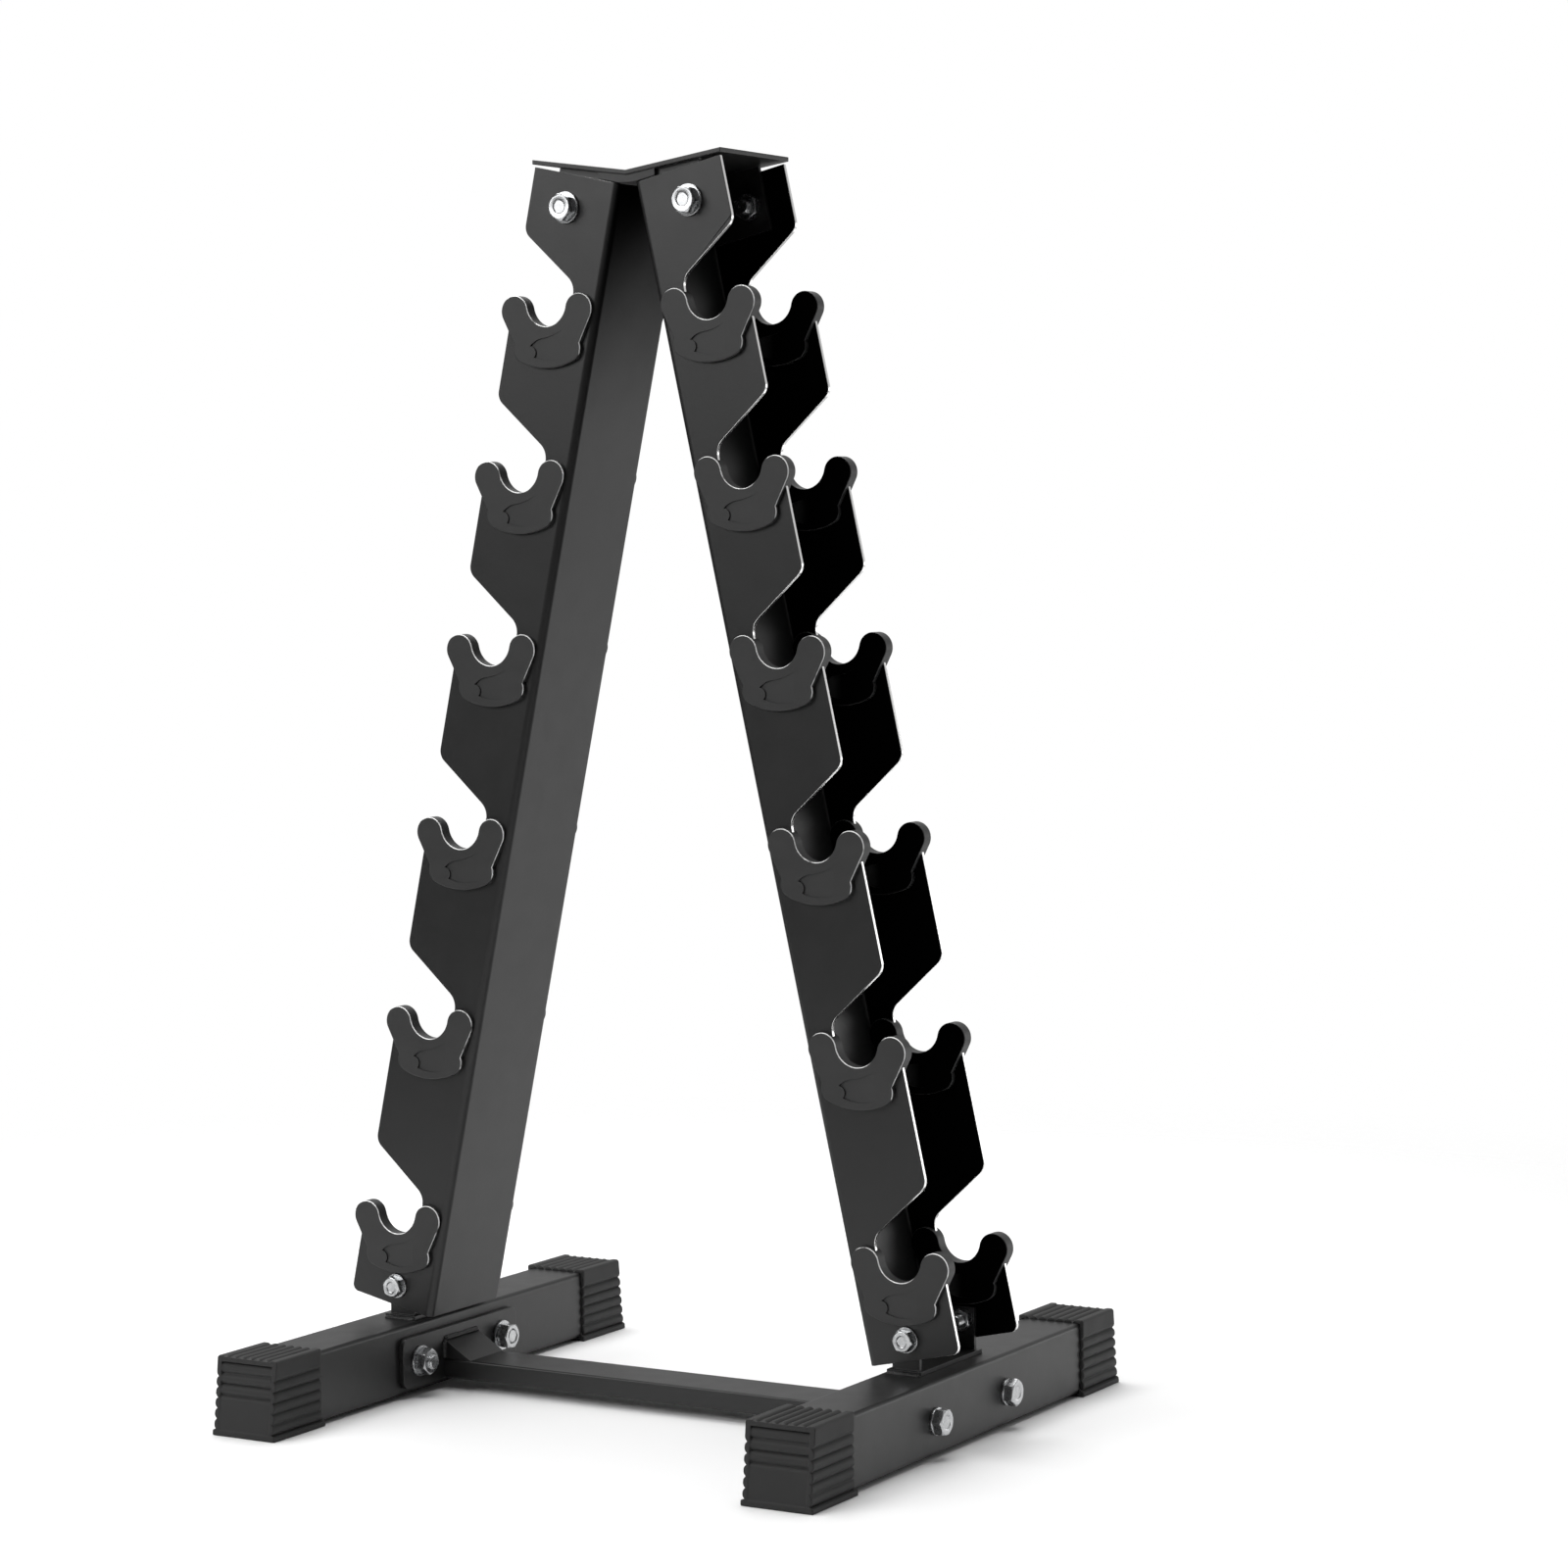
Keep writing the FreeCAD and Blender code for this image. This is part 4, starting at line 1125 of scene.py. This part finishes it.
@dataclass
class EndCaps:
    """Four ribbed rubber caps on the ends of the base tubes.

    Each is one closed surface: a tube of upright sections that runs from deep
    in the socket, out round the mouth and along the outside, and a ribbed face
    that closes its end. A fade is how far a step takes to rise.
    """

    finish: RibbedRubber = RibbedRubber()
    names: tuple[str, ...] = (
        "front_left_cap", "front_right_cap", "rear_left_cap", "rear_right_cap",
    )
    wall: float = 0.0025
    slant: float = 0.006
    lip: float = 0.001
    lip_back: float = 0.002
    lip_height: float = 0.004
    lip_fade: float = 0.0007
    side_pitch: float = 0.007
    top_pitch: float = 0.0066
    front_pitch: float = 0.0074
    front_ribs: float = 3.5
    rib_depth: float = 0.0019
    rib_power: float = 2.6
    panel_depth: float = 0.0004
    border: float = 0.0035
    border_fade: float = 0.0006
    slot_depth: float = 0.0024
    slot_power: float = 2.2
    slotted_pitches: float = 2.99
    slot_border: float = 0.0022
    slot_fade: float = 0.0008
    ledge_depth: float = 0.0011
    shoulder: float = 0.0019
    easing: float = 0.0009
    rows: int = 104
    columns: int = 85
    stations: int = 34
    bends: int = 6
    crisp: float = 50.0

    def build(self, wardrobe: Wardrobe) -> None:
        """Makes the four caps.

        Args:
            wardrobe: The finishes.
        """
        for name in self.names:
            shell = Shell()
            self.surface(shell, name)
            piece = shell.piece(f"{name}_ribbed", self.crisp)
            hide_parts(name)
            wardrobe.dress(piece, self.finish)
            LOG.info("made %s, %d faces", piece.name, len(piece.data.polygons))

    def heights(self, tall: float) -> np.ndarray:
        """Heights up the section, closer together round its corners.

        Args:
            tall: The section's height.

        Returns:
            The heights, from the sole to the top.
        """
        bend = np.linspace(0.0, QUARTER_TURN, self.bends + 1)
        low = self.easing * (1.0 - np.cos(bend))
        high = tall - self.shoulder * (1.0 - np.sin(bend))
        middle = np.linspace(low[-1], high[0], self.rows - 2 * self.bends)
        return np.concatenate([low[:-1], middle, high[1:]])

    def over_lip(self, z: np.ndarray) -> np.ndarray:
        """0 in the lip at the sole and 1 over it."""
        return rise(z, self.lip_height - self.lip_fade, self.lip_height)

    def half_width(self, z: np.ndarray, half: float, tall: float) -> np.ndarray:
        """Half the section's width at each height.

        The plain width, plus the lip at the sole, less the side ribs' valleys,
        less the round of the shoulder at the top and of the sole's edge.

        Args:
            z: The heights.
            half: Half the plain width.
            tall: The section's height.

        Returns:
            Half the width at each height.
        """
        lip = self.lip * (1.0 - self.over_lip(z))
        ribs = valley((z - self.lip_height) / self.side_pitch, self.rib_power)
        count = math.floor((tall - self.lip_height) / self.side_pitch)
        last = self.lip_height + self.side_pitch * (count - 0.5)
        ribs = ribs * (z < last) * self.over_lip(z)
        over = np.clip((z - tall + self.shoulder) / self.shoulder, 0.0, 1.0)
        under = np.clip((self.easing - z) / self.easing, 0.0, 1.0)
        shoulder = self.shoulder * (1.0 - np.sqrt(1.0 - over ** 2))
        sole = self.easing * (1.0 - np.sqrt(1.0 - under ** 2))
        return half + lip - self.rib_depth * ribs - shoulder - sole

    def surface(self, shell: Shell, name: str) -> None:
        """Adds one cap's surface to a shell.

        Args:
            shell: The shell.
            name: The frame's node for the cap.
        """
        low, high = (np.array(corner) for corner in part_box(name))
        middle = (low[0] + high[0]) / 2.0
        end = math.copysign(1.0, low[1] + high[1])
        near, foot = sorted((abs(low[1]), abs(high[1])))
        tall, half = high[2], (high[0] - low[0]) / 2.0 - self.lip
        mouth = near + self.lip_back
        z = self.heights(tall)
        share = np.linspace(-1.0, 1.0, self.columns)
        across = self.half_width(z, half, tall)[:, None] * share[None, :]
        up = np.repeat(z[:, None], self.columns, axis=1)
        front = foot - self.slant * up / tall
        back = mouth - self.lip_back * (1.0 - self.over_lip(up))

        def section(y: np.ndarray, inset: float) -> np.ndarray:
            """The section this far out, drawn in by an inset, with the top's slots."""
            x = across * (1.0 - inset / half)
            height = tall / 2.0 + (up - tall / 2.0) * (1.0 - 2.0 * inset / tall)
            slots = self.top_slots(across, y, foot - self.slant)
            height = height - slots * (up >= tall - NO_LENGTH)
            return np.stack([middle + x, end * y, height], axis=-1)

        inner = np.stack([
            middle + share[None, :] * (half - self.wall) * np.ones_like(up),
            end * back,
            self.wall + up / tall * (tall - 2.0 * self.wall),
        ], axis=-1)
        deep = inner.copy()
        deep[..., 1] = end * (foot - self.slant * 2.0)
        centre = np.broadcast_to(deep.mean(axis=(0, 1)), deep.shape)
        rings = [border_loop(centre), border_loop(deep), border_loop(inner)]
        rings.append(border_loop(section(back, self.easing / 2.0)))
        start, reach = back + self.easing / 2.0, front - self.easing
        for along in np.linspace(0.0, 1.0, self.stations):
            rings.append(border_loop(section(start + along * (reach - start), 0.0)))
        for bend in np.linspace(0.0, QUARTER_TURN, self.bends)[1:]:
            y = reach + self.easing * math.sin(bend)
            rings.append(border_loop(section(y, self.easing * (1.0 - math.cos(bend)))))
        shell.grid(np.stack(rings), False, True)
        face = section(front, self.easing)
        face[..., 1] -= end * self.face_depth(across, up, half, tall)
        shell.grid(face, False, False)

    def top_slots(self, x: np.ndarray, y: np.ndarray, end: float) -> np.ndarray:
        """How deep the slots in the top are.

        They are valleys across the cap, open at the mouth, with none in the
        shoulders. At the end they run into a low ledge.

        Args:
            x: How far each point is from the cap's middle.
            y: How far out it is.
            end: How far out the top ends.

        Returns:
            The depth at each point.
        """
        inside = np.abs(x) < self.top_pitch * self.slotted_pitches
        ribs = valley(x / self.top_pitch - 0.5, self.slot_power)
        ledge = rise(y, end - self.slot_border, end - self.slot_border + self.slot_fade)
        return inside * (self.slot_depth * ribs * (1.0 - ledge) + self.ledge_depth * ledge)

    def face_depth(
        self, x: np.ndarray, z: np.ndarray, half: float, tall: float
    ) -> np.ndarray:
        """How far the end face is sunk inside its border.

        It is a shallow panel, with ribs across its upper part whose valleys are
        the deepest.

        Args:
            x: How far each point is from the cap's middle.
            z: How high it is.
            half: Half the cap's plain width.
            tall: The cap's height.

        Returns:
            The depth at each point.
        """
        side, top = half - self.border, tall - self.border
        inside = 1.0 - rise(np.abs(x), side, side + self.border_fade)
        inside = inside * rise(z, self.border - self.border_fade, self.border)
        inside = inside * (1.0 - rise(z, top, top + self.border_fade))
        down = (top - z) / self.front_pitch
        ribs = valley(down, self.rib_power) * (down < self.front_ribs)
        return inside * (self.panel_depth + self.rib_depth * ribs)


def border_loop(grid: np.ndarray) -> np.ndarray:
    """The points round a grid's border, once round."""
    return np.concatenate([grid[:, 0], grid[-1, 1:-1], grid[::-1, -1], grid[0, -2:0:-1]])


# Welds


@dataclass(frozen=True)
class WeldBead:
    """One fillet weld, laid in the corner between two faces.

    It is a profile carried along a line. The profile is a bulging quarter
    round with its heel sunk in the corner. Its size swells and falls along the
    line, like a row of overlapping coins, and it tapers at both ends.
    """

    start: tuple[float, float, float]
    end: tuple[float, float, float]
    first: tuple[float, float, float]
    second: tuple[float, float, float]
    size: float = 0.0022
    ripple: float = 0.0013
    ripple_steps: int = 9
    ripple_lag: float = 0.35
    coin_depth: float = 0.16
    coin_power: float = 2.5
    sway: tuple[float, float] = (0.07, 0.0047)
    shake: tuple[float, float] = (0.05, 0.0021)
    sunk: float = 0.0002

    def wander(self, along: np.ndarray) -> np.ndarray:
        """The hand's unsteadiness: 1 plus two sines of the distance along the line."""
        sway = self.sway[0] * np.sin(along / self.sway[1])
        return 1.0 + sway + self.shake[0] * np.sin(along / self.shake[1] + 1.0)

    def radius(self, along: np.ndarray, bend: np.ndarray, length: float) -> np.ndarray:
        """How far the bead's face is from the corner.

        Args:
            along: How far along the line each station is.
            bend: The angles round the profile.
            length: The line's length.

        Returns:
            Stations by angles.
        """
        lag = self.ripple_lag * self.ripple * np.sin(2.0 * bend)
        coin = valley((along[:, None] + lag[None, :]) / self.ripple, self.coin_power)
        taper = np.clip(np.minimum(along, length - along) / self.size, 0.0, 1.0)
        taper = np.sqrt(1.0 - (1.0 - taper) ** 2)
        return self.size * (1.0 - self.coin_depth * coin) * (self.wander(along) * taper)[:, None]

    def points(self) -> np.ndarray:
        """The bead's points.

        Returns:
            Stations by samples by three, with a closed profile and closed ends.
        """
        start, end = np.array(self.start), np.array(self.end)
        first, second = np.array(self.first), np.array(self.second)
        length = float(np.linalg.norm(end - start))
        count = max(24, int(length / self.ripple * self.ripple_steps))
        along, bend = np.linspace(0.0, length, count), np.linspace(0.0, QUARTER_TURN, 9)
        spread = np.cos(bend)[:, None] * first + np.sin(bend)[:, None] * second
        line = start + along[:, None] * (end - start) / length
        face = line[:, None, :] + self.radius(along, bend, length)[..., None] * spread[None, :, :]
        heel = line - (first + second) * self.sunk
        bead = np.concatenate([face, heel[:, None, :]], axis=1)
        ends = bead[[0, -1]].mean(axis=1, keepdims=True).repeat(bead.shape[1], axis=1)
        return np.concatenate([ends[:1], bead, ends[1:]])


@dataclass
class Welds:
    """The beads that hold the gussets and the foot brackets."""

    finish: WeldMetal = WeldMetal()
    cheek_size: float = 0.0018
    crisp: float = 60.0

    def build(self, wardrobe: Wardrobe) -> None:
        """Lays every bead.

        Args:
            wardrobe: The finishes.
        """
        for side, name in ((-1.0, "left"), (1.0, "right")):
            shell = Shell()
            for bead in self.gusset_beads(side, name) + self.foot_beads(name):
                shell.grid(bead.points(), False, True)
            piece = shell.piece(f"{name}_weld_beads", self.crisp)
            wardrobe.dress(piece, self.finish)
            LOG.info("laid %s, %d faces", piece.name, len(piece.data.polygons))

    def gusset_beads(self, side: float, name: str) -> list[WeldBead]:
        """The bead along a gusset's top, and one down each cheek.

        Args:
            side: -1 on the left and 1 on the right.
            name: The side's name.

        Returns:
            Three beads.
        """
        low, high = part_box(f"{name}_gusset")
        wall, inward = side * max(abs(low.x), abs(high.x)), (-side, 0.0, 0.0)
        beads = [WeldBead((wall, low.y, high.z), (wall, high.y, high.z), inward, (0.0, 0.0, 1.0))]
        for y, away in ((low.y, -1.0), (high.y, 1.0)):
            foot, top = (wall, y, low.z), (wall, y, high.z)
            beads.append(WeldBead(foot, top, inward, (0.0, away, 0.0), self.cheek_size))
        return beads

    def foot_beads(self, name: str) -> list[WeldBead]:
        """The beads where a foot plate meets its tube, front and rear.

        Args:
            name: The side's name.

        Returns:
            Two beads.
        """
        low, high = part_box(f"{name}_foot_bracket")
        ends = ((low.y, (0.0, -1.0, 0.0)), (high.y, (0.0, 1.0, 0.0)))
        return [WeldBead((low.x, y, low.z), (high.x, y, low.z), away, (0.0, 0.0, 1.0))
                for y, away in ends]


# The studio


@dataclass(frozen=True)
class Softbox:
    """An area light that faces a point, with the brightness of its face."""

    name: str
    place: tuple[float, float, float]
    target: tuple[float, float, float]
    size: tuple[float, float]
    glow: float


@dataclass
class Studio:
    """A pale floor that fades into white, soft light and the camera."""

    azimuth: float = 30.588
    elevation: float = 3.596
    roll: float = -0.6505
    reach: float = 2.60159
    target: tuple[float, float, float] = (0.08966, 0.0, 0.42439)
    focal: float = 90.86
    sensor: float = 36.0
    far: float = 100.0
    floor_size: float = 9.0
    floor_levels: tuple[float, float] = (0.93, 0.95)
    floor_roughness: float = 0.75
    floor_fade: tuple[float, float] = (1.5, 0.75)
    deep_glow: tuple[float, ...] = (-0.5, 0.8, 0.08, 0.55)
    high_glow: tuple[float, ...] = (-0.25, 0.05, 0.70, 1.0)
    lights: tuple[Softbox, ...] = (
        Softbox("back_right_wall", (2.4, 3.9, 0.5), (0.1, 0.0, 0.4), (3.2, 1.0), 1.6),
        Softbox("top_panel", (-0.35, 0.2, 2.5), (0.0, 0.0, 0.2), (1.9, 1.9), 6.0),
        Softbox("front_left_panel", (-1.5, -2.3, 1.85), (0.0, 0.0, 0.7), (1.8, 1.7), 4.4),
        Softbox("floor_card", (0.9, 1.5, 0.004), (0.9, 1.5, 1.0), (1.1, 1.3), 0.9),
    )

    def build(self) -> None:
        """Sets the floor, the lights, the backdrop and the camera."""
        self.floor()
        for light in self.lights:
            self.softbox(light)
        self.backdrop()
        self.camera()
        bpy.context.scene.view_settings.view_transform = "Standard"
        LOG.info("set the studio")

    def floor(self) -> None:
        """Lays the floor, a flat grid of a few faces."""
        line = np.linspace(-self.floor_size, self.floor_size, 3)
        x, y = np.meshgrid(line, line)
        shell = Shell()
        shell.grid(np.stack([x, y, np.zeros_like(x)], axis=-1), False, False)
        floor = bpy.data.objects.new("floor", shell.mesh("floor", 30.0))
        bpy.context.scene.collection.objects.link(floor)
        shader = Shader("pale_floor")
        cloud = shader.noise(3.0, 3.0)
        colour = shader.blend(cloud, *(grey(level) for level in self.floor_levels))
        spot = shader.place()
        across, deep = shader.part(spot, "X"), shader.part(spot, "Y")
        away = (across * across + deep * deep).math("SQRT")
        floor.data.materials.append(shader.finish(
            Base_Color=colour, Roughness=cloud * 0.05 + self.floor_roughness,
            Alpha=away.between(*self.floor_fade),
        ))

    def softbox(self, light: Softbox) -> None:
        """Hangs one light.

        Args:
            light: The light.
        """
        data = bpy.data.lights.new(light.name, "AREA")
        data.shape = "RECTANGLE"
        data.size, data.size_y = light.size
        data.energy = light.glow * math.pi * light.size[0] * light.size[1]
        lamp = bpy.data.objects.new(light.name, data)
        lamp.location = light.place
        away = Vector(light.place) - Vector(light.target)
        lamp.rotation_euler = away.to_track_quat("Z", "Y").to_euler()
        bpy.context.scene.collection.objects.link(lamp)

    def backdrop(self) -> None:
        """A white surround that the rack sees as dim, most of all in front and below."""
        world = bpy.data.worlds.new("white_surround")
        bpy.context.scene.world = world
        world.use_nodes = True
        nodes, links = world.node_tree.nodes, world.node_tree.links
        background = next(n for n in nodes if n.type == "BACKGROUND")
        seen = nodes.new("ShaderNodeLightPath")
        spot = nodes.new("ShaderNodeTexCoord")
        split = nodes.new("ShaderNodeSeparateXYZ")
        mix = nodes.new("ShaderNodeMix")
        links.new(spot.outputs["Generated"], split.inputs[0])
        steps = []
        for axis, levels in (("Y", self.deep_glow), ("Z", self.high_glow)):
            step = nodes.new("ShaderNodeMapRange")
            step.interpolation_type = "SMOOTHSTEP"
            links.new(split.outputs[axis], step.inputs["Value"])
            for socket, level in zip(("From Min", "From Max", "To Min", "To Max"), levels):
                step.inputs[socket].default_value = level
            steps.append(step)
        product = nodes.new("ShaderNodeMath")
        product.operation = "MULTIPLY"
        for number, step in enumerate(steps):
            links.new(step.outputs[0], product.inputs[number])
        links.new(seen.outputs["Is Camera Ray"], mix.inputs[0])
        links.new(product.outputs[0], mix.inputs[2])
        mix.inputs[3].default_value = 1.0
        links.new(mix.outputs[0], background.inputs["Strength"])
        background.inputs["Color"].default_value = grey(1.0)

    def camera(self) -> None:
        """Stands the camera at its azimuth and elevation, rolled a little."""
        azimuth, elevation = math.radians(self.azimuth), math.radians(self.elevation)
        back = Vector((math.sin(azimuth) * math.cos(elevation),
                       -math.cos(azimuth) * math.cos(elevation), math.sin(elevation)))
        data = bpy.data.cameras.new("camera")
        data.sensor_width = self.sensor
        data.lens = self.focal
        data.clip_end = self.far
        camera = bpy.data.objects.new("camera", data)
        place = Vector(self.target) + back * self.reach
        roll = Matrix.Rotation(math.radians(self.roll), 3, "Z").to_quaternion()
        turn = back.to_track_quat("Z", "Y") @ roll
        camera.matrix_world = Matrix.Translation(place) @ turn.to_matrix().to_4x4()
        bpy.context.scene.collection.objects.link(camera)
        bpy.context.scene.camera = camera


def corners(box: tuple) -> list[list[float]]:
    """A box as plain lists of numbers."""
    return [[float(number) for number in corner] for corner in box]


def main() -> None:
    """Dresses the frame, makes the new pieces and sets the studio."""
    logging.basicConfig(level=logging.INFO, format="%(name)s: %(message)s")
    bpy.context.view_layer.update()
    wardrobe = Wardrobe()
    SteelWork().build(wardrobe)
    Cradles().build(wardrobe)
    large, small = ScrewThread(0.010, 0.0015), ScrewThread(0.008, 0.00125)
    large_hex, small_hex = Hexagon(0.016), Hexagon(0.013)
    FastenerSet("top", Axis.Y, large, large_hex, head=0.0064, threaded=0.019).build(wardrobe)
    FastenerSet("foot", Axis.Y, small, small_hex, head=0.0053, threaded=0.019).build(wardrobe)
    FastenerSet("crossbar", Axis.X, large, large_hex, head=0.0064, threaded=0.016).build(wardrobe)
    EndCaps().build(wardrobe)
    Welds().build(wardrobe)
    Studio().build()


if __name__ == "__main__":
    main()
